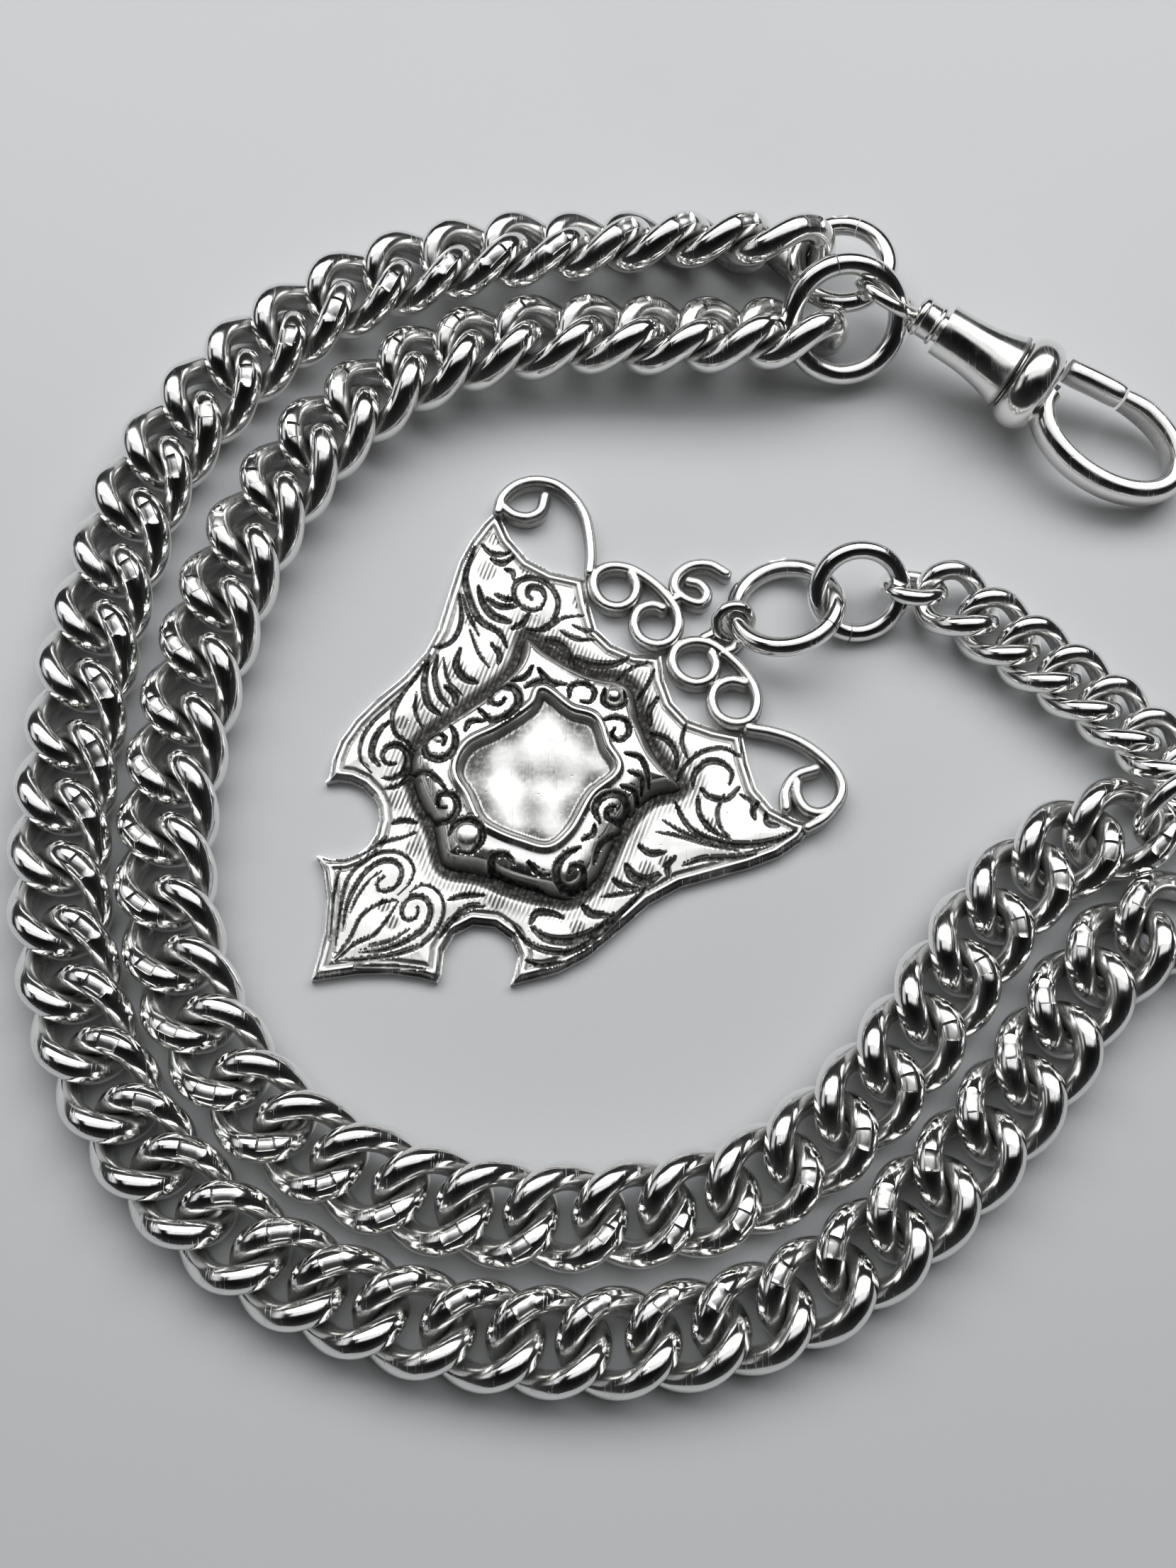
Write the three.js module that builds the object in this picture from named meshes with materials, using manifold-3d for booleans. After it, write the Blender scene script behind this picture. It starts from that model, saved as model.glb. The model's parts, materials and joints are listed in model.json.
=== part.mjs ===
// A silver double Albert watch chain laid down in a C: two strands of twisted curb links that start on one
// swivel clip, a drop chain with an engraved shield fob inside the C, and a T-bar where the strands meet.
// Millimetres, +Z up, lying on z = 0. Each strand is a row of bodies of three joined links and a last link.
import * as THREE from "three";
import { mergeVertices } from "three/addons/utils/BufferGeometryUtils.js";
import Module from "manifold-3d";

const wasm = await Module();
wasm.setup();

// ---- driving dimensions ----------------------------------------------------------------------------------
const CURB = { halfLength: 3.3, halfWidth: 2.65, wire: 0.9, twist: 50, pitch: 4.8 };
const DROP = { halfLength: 2.72, halfWidth: 2.1, wire: 0.66, twist: 47, pitch: 3.8 };
const LINKS_PER_BODY = 3;
const CLOSE_PITCH = 4.25; // between the last link of one body and the first of the next
const BENDS = 10; // straight pieces that a bent wire is made of
const SIDES = 5; // flats round a link's wire
const FLEX = 8; // degrees that one body of a strand turns each way on the one before
const RING_FLEX = 6; // the same for a jump ring
const GATE_OPEN = 24; // degrees that the gate swings into the hook
const CLEARANCE = 0.3;

const SILVER = { color: 0xd9d9d6, roughness: 0.18, metalness: 1 };
const WORN_SILVER = { color: 0xc9c8c4, roughness: 0.3, metalness: 1 };
const STEEL = { color: 0x8d8f92, roughness: 0.4, metalness: 1 };

// A strand's line, how far its links lean over along it as [millimetres along, degrees], and links that sit
// otherwise where a ring passes through them.
const OUTER = {
  name: "outer",
  bodies: 14,
  route: [
    [17.13, 43.4], [9, 44.3], [-1, 44], [-11, 42.8], [-20, 39.6], [-28, 33.3], [-34, 24.8], [-37.2, 14],
    [-38.9, 2], [-38.8, -9], [-36.2, -19], [-31, -27.8], [-24, -34.2], [-15, -38.6], [-4, -40.9], [7, -40.5],
    [16, -37.2], [25, -30], [32, -21.9], [37, -14.9], [40.6, -11.8], [44.8, -9.9],
  ],
  lean: [[0, 88], [20, 62], [40, 38], [64, 16], [95, 4], [210, 0]],
  lift: { 0: 1.3 },
};
const INNER = {
  name: "inner",
  bodies: 12,
  route: [
    [18.6, 36.4], [8, 36.1], [-4, 36.1], [-13, 33.6], [-19.8, 27.8], [-25, 19.8], [-28.5, 10], [-30.6, -1],
    [-30.7, -10], [-28.2, -18.1], [-23.6, -25.1], [-16.9, -29.9], [-8, -32.4], [2, -32.7], [11, -31],
    [18.1, -26.6], [23.8, -20.3], [28, -13.9], [32, -8.7], [37, -5.2], [43.2, -3.6],
  ],
  lean: [[0, -30], [12, 10], [190, 10]],
  lift: { 0: 0.3 },
};
const DROP_CHAIN = {
  links: 7,
  route: [[27, 15], [31.7, 11.6], [38.2, 6.4], [43.4, 1.6], [48, -3]],
  lean: [[0, 12], [6, 2], [28, -32]],
};

// Jump rings: the middle, how far the face tips from +Z and towards which heading, and the ring's and the
// wire's radius.
const RINGS = {
  strand_ring_a: { at: [19.19, 41.35, 4.78], tip: 34.7, towards: 67.6, radius: 3.8, wire: 0.55 },
  strand_ring_b: { at: [20.77, 37.42, 4.25], tip: 52.6, towards: 123.9, radius: 4.6, wire: 0.6 },
  fob_ring_1: { at: [15.44, 13.32, 2.64], tip: 31.1, towards: 116.4, radius: 4.1, wire: 0.52 },
  fob_ring_2: { at: [21.44, 14.84, 2.78], tip: 40.1, towards: -73.1, radius: 3.5, wire: 0.52 },
  drop_ring: { at: [25.63, 15.48, 1.82], tip: 35.9, towards: 64.1, radius: 2.25, wire: 0.5 },
  junction_ring: { at: [43.76, -2.83, 3.7], tip: 70.4, towards: -60.4, radius: 3.4, wire: 0.5 },
  t_bar_ring: { at: [47.6, -1.98, 4.27], tip: 34, towards: 67.3, radius: 2.7, wire: 0.5 },
};
const FOB_LOOP = { at: [11.26, 12.49, 1.94], tip: 67, towards: -104.7, radius: 1.6, wire: 0.42 };
const BOW = { radius: 3, wire: 0.5, roll: 90, centre: -13.2 };
const T_BAR = {
  loop: { at: [50.52, -2.94, 3.74], tip: 83.9, towards: -118.9, radius: 1.9, wire: 0.5 },
  heading: -29,
  halfLength: 13.5,
  reach: 3.4,
};

// The swivel clip's own frame: x towards the hook, y to its left, z up, from the middle of the bead.
const CLIP_AT = [34.7, 31.6, 3.85];
const CLIP_HEADING = -31;
const CLIP_DIP = 9; // degrees that it slopes down towards the hook
const HOOK = { centre: [7.6, -0.35], outer: [6.4, 4.25], inner: [5.15, 3.0], thickness: 2.2, nose: 95 };
const GATE = {
  pivot: [0.6, 2.6],
  tip: [6.75, 3.25],
  thickness: 1.3,
  halfWidth: 0.45,
  boss: 1,
  pin: 0.4,
  bore: 0.7,
};

// The fob's own frame: x up from the shield's tip, y to its left.
const FOB_TIP = [-20.4, -15.4];
const FOB_HEADING = 44.2;
const PLATE = 1.2;

const group = new THREE.Group();
const rad = THREE.MathUtils.degToRad;

// ---- solids ----------------------------------------------------------------------------------------------
// A closed three.js geometry as a solid that can be joined and cut.
function solid(geometry) {
  const bare = new THREE.BufferGeometry();
  bare.setAttribute("position", geometry.getAttribute("position"));
  bare.setIndex(geometry.index);
  const merged = mergeVertices(bare, 1e-4);
  const vertProperties = merged.attributes.position.array;
  const triVerts = new Uint32Array(merged.index.array);
  return new wasm.Manifold(new wasm.Mesh({ numProp: 3, vertProperties, triVerts }));
}

function geometryOf(manifold) {
  const mesh = manifold.getMesh();
  const geometry = new THREE.BufferGeometry();
  geometry.setAttribute("position", new THREE.BufferAttribute(mesh.vertProperties, 3));
  geometry.setIndex(new THREE.BufferAttribute(mesh.triVerts, 1));
  geometry.computeVertexNormals();
  return geometry;
}

function union(geometries) {
  return geometries.map(solid).reduce((all, one) => all.add(one));
}

// The solids as one. Where two bent wires run into each other they can close off a pocket, which is left out.
function joined(geometries) {
  const shells = union(geometries).decompose();
  return geometryOf(shells.reduce((outer, shell) => (shell.volume() > outer.volume() ? shell : outer)));
}

// What is left of a solid when the cutters are taken away.
function cut(whole, cutters) {
  return geometryOf(cutters.reduce((left, cutter) => left.subtract(solid(cutter)), whole));
}

// A body that turns on its parent body about an axis through an origin, both in the assembly's frame.
function body(name, parent, joint) {
  const made = new THREE.Group();
  made.userData = { body: name, parent, ...joint };
  group.add(made);
  return made;
}

function piece(name, geometry, finish, owner) {
  const mesh = new THREE.Mesh(geometry, new THREE.MeshStandardMaterial(finish));
  mesh.name = name;
  owner.add(mesh);
  return mesh;
}

// Wire bent into a closed loop: a torus whose centre line is moved onto the curve centreLine(turn).
function bentWire(centreLine, wire, bends = BENDS, sides = SIDES) {
  const geometry = new THREE.TorusGeometry(1, 0.3, sides, bends);
  const place = geometry.attributes.position;
  const point = new THREE.Vector3();
  const step = 1e-3;
  for (let i = 0; i < place.count; i++) {
    point.fromBufferAttribute(place, i);
    const turn = Math.atan2(point.y, point.x);
    const around = Math.atan2(point.z, Math.hypot(point.x, point.y) - 1);
    const centre = centreLine(turn);
    const along = centreLine(turn + step).sub(centreLine(turn - step)).normalize();
    const out = centre.clone().addScaledVector(along, -centre.dot(along)).normalize();
    const side = new THREE.Vector3().crossVectors(out, along);
    centre.addScaledVector(out, wire * Math.cos(around)).addScaledVector(side, wire * Math.sin(around));
    place.setXYZ(i, centre.x, centre.y, centre.z);
  }
  return geometry;
}

function signedPower(value, power) {
  return Math.sign(value) * Math.abs(value) ** power;
}

// A curb link is a full oval whose two ends are twisted opposite ways about the chain's line.
function curbLine(link) {
  const twist = rad(link.twist);
  return (turn) => {
    const lean = -twist * signedPower(Math.cos(turn), 0.8);
    const width = link.halfWidth * signedPower(Math.sin(turn), 0.87);
    const along = link.halfLength * signedPower(Math.cos(turn), 0.87);
    return new THREE.Vector3(along, width * Math.cos(lean), width * Math.sin(lean));
  };
}

// How far a leaning link reaches below its own centre.
function restHeight(link, lean) {
  const line = curbLine(link);
  const tilt = rad(lean);
  let lowest = 0;
  for (let turn = 0; turn < 2 * Math.PI; turn += 0.05) {
    const point = line(turn);
    lowest = Math.min(lowest, point.y * Math.sin(tilt) + point.z * Math.cos(tilt));
  }
  return link.wire - lowest;
}

function jumpRing({ at, tip, towards, radius, wire }, bends = 16, sides = 5) {
  const line = (turn) => new THREE.Vector3(radius * Math.cos(turn), radius * Math.sin(turn), 0);
  const geometry = bentWire(line, wire, bends, sides);
  geometry.rotateY(rad(tip));
  geometry.rotateZ(rad(towards));
  return geometry.translate(...at);
}

// A flat shape in x and y, from z = low to z = high.
function slab(points, low, high) {
  const shape = new THREE.Shape(points.map(([x, y]) => new THREE.Vector2(x, y)));
  return new THREE.ExtrudeGeometry(shape, { depth: high - low, bevelEnabled: false }).translate(0, 0, low);
}

function disc([x, y], radius, low, high, sides = 12) {
  const geometry = new THREE.CylinderGeometry(radius, radius, high - low, sides).rotateX(Math.PI / 2);
  return geometry.translate(x, y, (low + high) / 2);
}

function block([x0, y0, z0], [x1, y1, z1]) {
  const geometry = new THREE.BoxGeometry(x1 - x0, y1 - y0, z1 - z0);
  return geometry.translate((x0 + x1) / 2, (y0 + y1) / 2, (z0 + z1) / 2);
}

// A solid of revolution about the x axis, from a profile of [x, radius].
function turned(profile, sides = 24) {
  const points = profile.map(([x, radius]) => new THREE.Vector2(radius, x));
  return new THREE.LatheGeometry(points, sides).rotateZ(-Math.PI / 2);
}

// Flat strip bent edgeways along a line through the points.
function strip(points, width, low, high, steps = 12) {
  const curve = new THREE.CatmullRomCurve3(points.map(([x, y]) => new THREE.Vector3(x, y, 0)));
  const left = [];
  const right = [];
  for (let i = 0; i <= steps; i++) {
    const at = curve.getPointAt(i / steps);
    const along = curve.getTangentAt(i / steps);
    left.push([at.x - (along.y * width) / 2, at.y + (along.x * width) / 2]);
    right.unshift([at.x + (along.y * width) / 2, at.y - (along.x * width) / 2]);
  }
  return slab([...left, ...right].reverse(), low, high);
}

// ---- strands ---------------------------------------------------------------------------------------------
function curveThrough(points) {
  const curve = new THREE.CatmullRomCurve3(points.map(([x, y]) => new THREE.Vector3(x, y, 0)));
  curve.arcLengthDivisions = 1200;
  return curve;
}

function leanAt(table, along) {
  const next = Math.max(1, table.findIndex(([place]) => place >= along));
  const [from, fromLean] = table[next - 1];
  const [to, toLean] = table[next];
  return THREE.MathUtils.mapLinear(along, from, to, fromLean, toLean);
}

// The places of a strand's links, in the assembly's frame.
function linkPlaces(link, { route, lean, lift = {} }, count, perBody) {
  const curve = curveThrough(route);
  const length = curve.getLength();
  const openPitch = perBody > 1 ? (link.pitch * perBody - CLOSE_PITCH) / (perBody - 1) : link.pitch;
  const places = [];
  let along = link.pitch / 2;
  for (let i = 0; i < count; i++) {
    const share = Math.min(1, along / length);
    const centre = curve.getPointAt(share);
    const heading = curve.getTangentAt(share);
    const tilt = leanAt(lean, along);
    centre.z = restHeight(link, tilt) + (lift[i] ?? 0);
    places.push({ centre, heading: Math.atan2(heading.y, heading.x), tilt: rad(tilt) });
    along += perBody > 1 && i % perBody === perBody - 1 ? CLOSE_PITCH : openPitch;
  }
  return places;
}

function linkGeometry(link, { centre, heading, tilt }) {
  const geometry = bentWire(curbLine(link), link.wire);
  geometry.rotateX(tilt);
  geometry.rotateZ(heading);
  return geometry.translate(centre.x, centre.y, centre.z);
}

// The level line that a strand's next body turns about: across the strand, or along X while the strand still
// runs back over what follows it, so that all that follows lies on one side of the line.
function flexAxis(heading) {
  const direction = new THREE.Vector3(Math.cos(heading), Math.sin(heading), 0);
  if (direction.x < 0 || direction.y > 0.9) return new THREE.Vector3(-1, 0, 0);
  return new THREE.Vector3(direction.y, -direction.x, 0);
}

function between(a, b) {
  return a.clone().add(b).multiplyScalar(0.5);
}

// A strand's bodies, hung one after another on the body called root. The last body is one link.
function strand(spec, root, from, sense) {
  const count = spec.bodies * LINKS_PER_BODY + 1;
  const places = linkPlaces(CURB, spec, count, LINKS_PER_BODY);
  let parent = root;
  for (let first = 0; first < count; first += LINKS_PER_BODY) {
    const links = places.slice(first, first + LINKS_PER_BODY);
    const last = first + LINKS_PER_BODY > count;
    const number = String(first / LINKS_PER_BODY + 1).padStart(2, "0");
    const name = last ? `${spec.name}_end_link` : `${spec.name}_links_${number}`;
    const before = first ? places[first - 1].centre : from;
    const origin = between(before, places[first].centre);
    const axis = flexAxis(places[first].heading).multiplyScalar(sense);
    const owner = body(name, parent, { origin, axis, range: [-FLEX, FLEX] });
    piece(name, joined(links.map((place) => linkGeometry(CURB, place))), SILVER, owner);
    parent = name;
  }
  return { last: parent, place: places[count - 1] };
}

function vectorOf([x, y, z]) {
  return new THREE.Vector3(x, y, z);
}

// A jump ring as a body of its own, turning at the middle of what it shares with its parent.
function ringBody(name, parent, parentAt, axis) {
  const ring = RINGS[name];
  const origin = between(parentAt, vectorOf(ring.at));
  piece(name, jumpRing(ring), SILVER, body(name, parent, { origin, axis, range: [-RING_FLEX, RING_FLEX] }));
  return vectorOf(ring.at);
}

// ---- swivel clip -----------------------------------------------------------------------------------------
const clipAxis = new THREE.Vector3(
  Math.cos(rad(CLIP_HEADING)) * Math.cos(rad(CLIP_DIP)),
  Math.sin(rad(CLIP_HEADING)) * Math.cos(rad(CLIP_DIP)),
  -Math.sin(rad(CLIP_DIP)),
);
const clipLeft = new THREE.Vector3(-Math.sin(rad(CLIP_HEADING)), Math.cos(rad(CLIP_HEADING)), 0);
const clipUp = new THREE.Vector3().crossVectors(clipAxis, clipLeft);
const clipFrame = new THREE.Matrix4().makeBasis(clipAxis, clipLeft, clipUp).setPosition(...CLIP_AT);

function onClip(geometry) {
  return geometry.applyMatrix4(clipFrame);
}

// The round bow with its neck and the shank that is riveted inside the barrel.
function swivelBow() {
  const line = (turn) => new THREE.Vector3(BOW.radius * Math.cos(turn), BOW.radius * Math.sin(turn), 0);
  const bow = bentWire(line, BOW.wire, 16, 6);
  bow.rotateX(rad(BOW.roll));
  bow.translate(BOW.centre, 0, 0);
  const stem = turned([
    [-10.35, 0], [-10.35, 0.9], [-9.9, 1.45], [-8.5, 1.45], [-8.5, 0.8], [-6.55, 0.8], [-6.55, 1.6],
    [-5.9, 1.6], [-5.9, 0],
  ]);
  return joined([bow, stem]);
}

function swivelBarrel() {
  return turned([
    [-8.1, 1.15], [-8.1, 1.8], [-7.6, 2.15], [-3, 2.7], [-2.4, 3.05], [-1.9, 3.05], [-1.9, 2], [-6.9, 2],
    [-6.9, 1.15], [-8.1, 1.15],
  ]);
}

function hookOutline() {
  const { centre, outer, inner, nose } = HOOK;
  const edge = [];
  const inside = [];
  for (let angle = nose; angle >= -178; angle -= 13) {
    const [x, y] = [Math.cos(rad(angle)), Math.sin(rad(angle))];
    edge.push([centre[0] + outer[0] * x, centre[1] + outer[1] * y]);
    inside.unshift([centre[0] + inner[0] * x, centre[1] + inner[1] * y]);
  }
  return [...edge, ...inside];
}

// The bead and the hook in one, slotted for the gate and bored for its pin.
function clipHook() {
  const bead = turned([[-1.5, 0], [-1.5, 2.7], [-0.7, 3.6], [0, 3.8], [0.7, 3.6], [1.5, 2.7], [1.5, 0]]);
  const hook = slab(hookOutline(), -HOOK.thickness / 2, HOOK.thickness / 2);
  const half = GATE.thickness / 2 + CLEARANCE;
  const slot = block([-0.9, 0.55, -half], [4, 6, half]);
  const bore = disc(GATE.pivot, GATE.bore, -1.9, 1.9, 10);
  return cut(union([bead, hook]), [slot, bore]);
}

function gateLever() {
  const half = GATE.thickness / 2;
  const arm = strip([GATE.pivot, GATE.tip], 2 * GATE.halfWidth, -half, half, 1);
  const boss = disc(GATE.pivot, GATE.boss, -half, half);
  return cut(union([arm, boss]), [disc(GATE.pivot, GATE.bore, -2, 2, 10)]);
}

const clipJoint = {
  origin: vectorOf(CLIP_AT).addScaledVector(clipAxis, -5),
  axis: clipAxis,
  continuous: true,
};
const base = body("swivel_bow", null, {});
piece("swivel_bow", onClip(swivelBow()), SILVER, base);
const clip = body("clip", "swivel_bow", clipJoint);
piece("swivel_barrel", onClip(swivelBarrel()), SILVER, clip);
piece("clip_hook", onClip(clipHook()), SILVER, clip);
piece("gate_pin", onClip(disc(GATE.pivot, GATE.pin, -1.6, 1.6, 10)), STEEL, clip);
piece("gate_spring", onClip(block([-0.6, 0.85, -0.5], [2.2, 1.05, 0.5])), STEEL, clip);
const gatePivot = new THREE.Vector3(...GATE.pivot, 0).applyMatrix4(clipFrame);
const gateJoint = { origin: gatePivot, axis: clipUp.clone().negate(), range: [0, GATE_OPEN] };
piece("gate_lever", onClip(gateLever()), SILVER, body("gate_lever", "clip", gateJoint));

// ---- strands, from the bow to the junction ---------------------------------------------------------------
const bowAt = vectorOf(CLIP_AT).addScaledVector(clipAxis, BOW.centre);
const back = new THREE.Vector3(-1, 0, 0);
const ringA = ringBody("strand_ring_a", "swivel_bow", bowAt, back.clone());
const ringB = ringBody("strand_ring_b", "swivel_bow", bowAt, back.clone().negate());
strand(OUTER, "strand_ring_a", ringA, 1);
const innerEnd = strand(INNER, "strand_ring_b", ringB, -1);

// ---- junction, T-bar -------------------------------------------------------------------------------------
const junction = ringBody("junction_ring", innerEnd.last, innerEnd.place.centre, new THREE.Vector3(0, 1, 0));
const barRing = ringBody("t_bar_ring", "junction_ring", junction, new THREE.Vector3(0, 1, 0));

function tBar() {
  const { loop, heading, halfLength, reach } = T_BAR;
  const rod = turned([
    [-halfLength, 0], [-halfLength, 0.9], [-halfLength + 0.8, 1.5], [-halfLength + 1.6, 0.9], [-2.2, 1.15],
    [2.2, 1.15], [halfLength - 1.6, 0.9], [halfLength - 0.8, 1.5], [halfLength, 0.9], [halfLength, 0],
  ], 10);
  const away = new THREE.Vector3(Math.cos(rad(heading)), Math.sin(rad(heading)), 0);
  rod.rotateZ(rad(heading + 90));
  rod.translate(loop.at[0] + away.x * reach, loop.at[1] + away.y * reach, loop.at[2] - 0.6);
  const neck = new THREE.CylinderGeometry(0.55, 0.75, 1.8, 8).rotateZ(Math.PI / 2).rotateZ(rad(heading));
  neck.translate(loop.at[0] + away.x * 2.6, loop.at[1] + away.y * 2.6, loop.at[2] - 0.3);
  return joined([rod, neck, jumpRing(loop, 14)]);
}

const barJoint = {
  origin: between(barRing, vectorOf(T_BAR.loop.at)),
  axis: new THREE.Vector3(0, 1, 0),
  range: [-RING_FLEX, RING_FLEX],
};
piece("t_bar", tBar(), SILVER, body("t_bar", "t_bar_ring", barJoint));

// ---- drop chain, from the junction to the fob ------------------------------------------------------------
const dropPlaces = linkPlaces(DROP, DROP_CHAIN, DROP_CHAIN.links, 1);
let above = "junction_ring";
let aboveAt = junction;
for (let i = DROP_CHAIN.links - 1; i >= 0; i--) {
  const name = `drop_link_${DROP_CHAIN.links - i}`;
  const place = dropPlaces[i];
  const axis = flexAxis(place.heading + Math.PI);
  const owner = body(name, above, { origin: between(aboveAt, place.centre), axis, range: [-FLEX, FLEX] });
  piece(name, linkGeometry(DROP, place), SILVER, owner);
  above = name;
  aboveAt = place.centre;
}
const lift = new THREE.Vector3(0, -1, 0);
const dropRing = ringBody("drop_ring", above, aboveAt, lift.clone());
const fobRing2 = ringBody("fob_ring_2", "drop_ring", dropRing, lift.clone());
const fobRing1 = ringBody("fob_ring_1", "fob_ring_2", fobRing2, lift.clone());

// ---- shield fob ------------------------------------------------------------------------------------------
const fobJoint = {
  origin: between(fobRing1, vectorOf(FOB_LOOP.at)),
  axis: lift.clone(),
  range: [-RING_FLEX, RING_FLEX],
};
const fob = body("fob", "fob_ring_1", fobJoint);

function onFob(geometry) {
  return geometry.rotateZ(rad(FOB_HEADING)).translate(...FOB_TIP, 0);
}

function mirrored(points) {
  return points.map(([x, y]) => [x, -y]);
}

// One half of the shield's edge, from the tip up its left side and in along the top.
function plateEdge() {
  const edge = [[0, 0], [3.1, 1.9], [5.3, 4.2]];
  const notch = { centre: [9.7, 7.8], radius: 3.1, from: 199, to: 427 };
  for (let angle = notch.from; angle <= notch.to; angle += 28.5) {
    const [x, y] = [Math.cos(rad(angle)), Math.sin(rad(angle))];
    edge.push([notch.centre[0] + notch.radius * x, notch.centre[1] + notch.radius * y]);
  }
  edge.push([14, 12.3], [18.1, 12.9], [25, 13.4], [28.4, 15.4], [32.4, 17.1], [35.8, 17.6]);
  edge.push([34.6, 15.6], [34.4, 13.6], [35, 11.1], [36, 9], [35, 7.2], [34.5, 5.4], [34.5, 3.4]);
  edge.push([35.2, 1.4], [36.2, 0.2]);
  return edge;
}

function bothSides(edge) {
  return [...edge, ...mirrored(edge).reverse().slice(0, -1)].reverse();
}

const cartoucheEdge = [
  [12, 0], [13.5, 3.5], [16.8, 7.8], [20, 6.6], [24, 7.2], [28.8, 7.6], [29.5, 4], [31, 0],
];
const cartoucheOutline = [...cartoucheEdge, ...mirrored(cartoucheEdge).reverse().slice(1, -1)].reverse();
const wingLine = [
  [36.9, 18.4], [38.4, 18.1], [39.7, 17.3], [40.6, 15.8], [40.7, 13.8], [40, 11.9], [38.7, 10.2], [37.5, 9.3],
];
const centreLine = [
  [37.9, 6.3], [37.4, 7.5], [38.6, 8], [39.9, 6.4], [40.1, 4.2], [39.8, 2.2], [38.8, 0.95], [37.7, 1.2],
  [37.8, 2.4],
];
const finialLine = [[41.4, 3.3], [42.3, 3.55], [43.4, 3.1], [44.2, 1.8], [44.4, 0.7]];

piece("fob_plate", onFob(joined([slab(bothSides(plateEdge()), 0, PLATE)])), WORN_SILVER, fob);
piece("fob_cartouche", onFob(joined([slab(cartoucheOutline, PLATE + CLEARANCE, 3.9)])), WORN_SILVER, fob);
for (const [side, place] of [["left", (points) => points], ["right", (points) => mirrored(points)]]) {
  const wing = strip(place(wingLine), 1, 0.1, 1.4);
  const centre = strip(place(centreLine), 0.8, 0.1, 1.4, 20);
  piece(`${side}_wing_scroll`, onFob(joined([wing])), WORN_SILVER, fob);
  piece(`${side}_centre_scroll`, onFob(joined([centre])), WORN_SILVER, fob);
}
piece("finial_scroll", onFob(joined([strip(finialLine, 0.8, 0.1, 1.4)])), WORN_SILVER, fob);
piece("fob_loop", jumpRing(FOB_LOOP, 14), WORN_SILVER, fob);

// ---- the middle of the bottom at the origin --------------------------------------------------------------
const whole = new THREE.Box3().setFromObject(group);
group.position.set(-(whole.min.x + whole.max.x) / 2, -(whole.min.y + whole.max.y) / 2, -whole.min.z);

export default group;
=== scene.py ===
import json
import math

import bpy
import numpy as np
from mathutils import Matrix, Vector


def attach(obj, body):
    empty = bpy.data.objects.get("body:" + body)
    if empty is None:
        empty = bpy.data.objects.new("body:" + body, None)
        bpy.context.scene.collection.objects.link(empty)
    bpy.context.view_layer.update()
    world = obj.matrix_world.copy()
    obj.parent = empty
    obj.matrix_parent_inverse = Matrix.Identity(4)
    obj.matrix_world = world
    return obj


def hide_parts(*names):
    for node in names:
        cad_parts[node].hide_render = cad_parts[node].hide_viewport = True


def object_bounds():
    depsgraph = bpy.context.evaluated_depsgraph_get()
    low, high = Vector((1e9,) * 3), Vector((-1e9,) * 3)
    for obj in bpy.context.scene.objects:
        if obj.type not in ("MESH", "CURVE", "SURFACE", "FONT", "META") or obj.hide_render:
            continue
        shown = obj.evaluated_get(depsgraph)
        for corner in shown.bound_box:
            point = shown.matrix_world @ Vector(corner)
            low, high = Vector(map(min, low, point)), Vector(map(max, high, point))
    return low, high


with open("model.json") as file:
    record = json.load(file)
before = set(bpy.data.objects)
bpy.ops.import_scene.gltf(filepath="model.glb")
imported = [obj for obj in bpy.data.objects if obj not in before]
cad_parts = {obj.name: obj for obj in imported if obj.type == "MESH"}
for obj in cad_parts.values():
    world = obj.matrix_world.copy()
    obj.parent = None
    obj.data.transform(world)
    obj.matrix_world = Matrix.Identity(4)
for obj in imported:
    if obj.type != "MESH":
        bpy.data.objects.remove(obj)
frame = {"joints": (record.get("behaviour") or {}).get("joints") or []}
CAD_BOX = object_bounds()
SCENE = bpy.context.scene

# ---- the shared frame ----
CLIP_AT = np.array([34.7, 31.6, 3.85])
CLIP_HEADING = math.radians(-31)
CLIP_DIP = math.radians(9)
CLIP_X = np.array([
    math.cos(CLIP_HEADING) * math.cos(CLIP_DIP),
    math.sin(CLIP_HEADING) * math.cos(CLIP_DIP),
    -math.sin(CLIP_DIP),
])
CLIP_Y = np.array([-math.sin(CLIP_HEADING), math.cos(CLIP_HEADING), 0.0])
CLIP_Z = np.cross(CLIP_X, CLIP_Y)
FOB_TIP = np.array([-20.4, -15.4])
FOB_HEADING = math.radians(44.2)

JOINTS = {joint["name"]: joint for joint in frame["joints"]}
OFFSET = np.array(JOINTS["swivel"]["pos_m"]) * 1000 - (CLIP_AT - 5 * CLIP_X)
RNG = np.random.default_rng(7)


def put(points):
    """Millimetres in the assembly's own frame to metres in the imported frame."""
    return (np.asarray(points, float) + OFFSET) * 0.001


def on_clip(points):
    points = np.asarray(points, float)
    return CLIP_AT + points[:, :1] * CLIP_X + points[:, 1:2] * CLIP_Y + points[:, 2:3] * CLIP_Z


def on_fob(points):
    points = np.asarray(points, float)
    c, s = math.cos(FOB_HEADING), math.sin(FOB_HEADING)
    x = FOB_TIP[0] + points[:, 0] * c - points[:, 1] * s
    y = FOB_TIP[1] + points[:, 0] * s + points[:, 1] * c
    return np.stack([x, y, points[:, 2]], 1)


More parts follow.
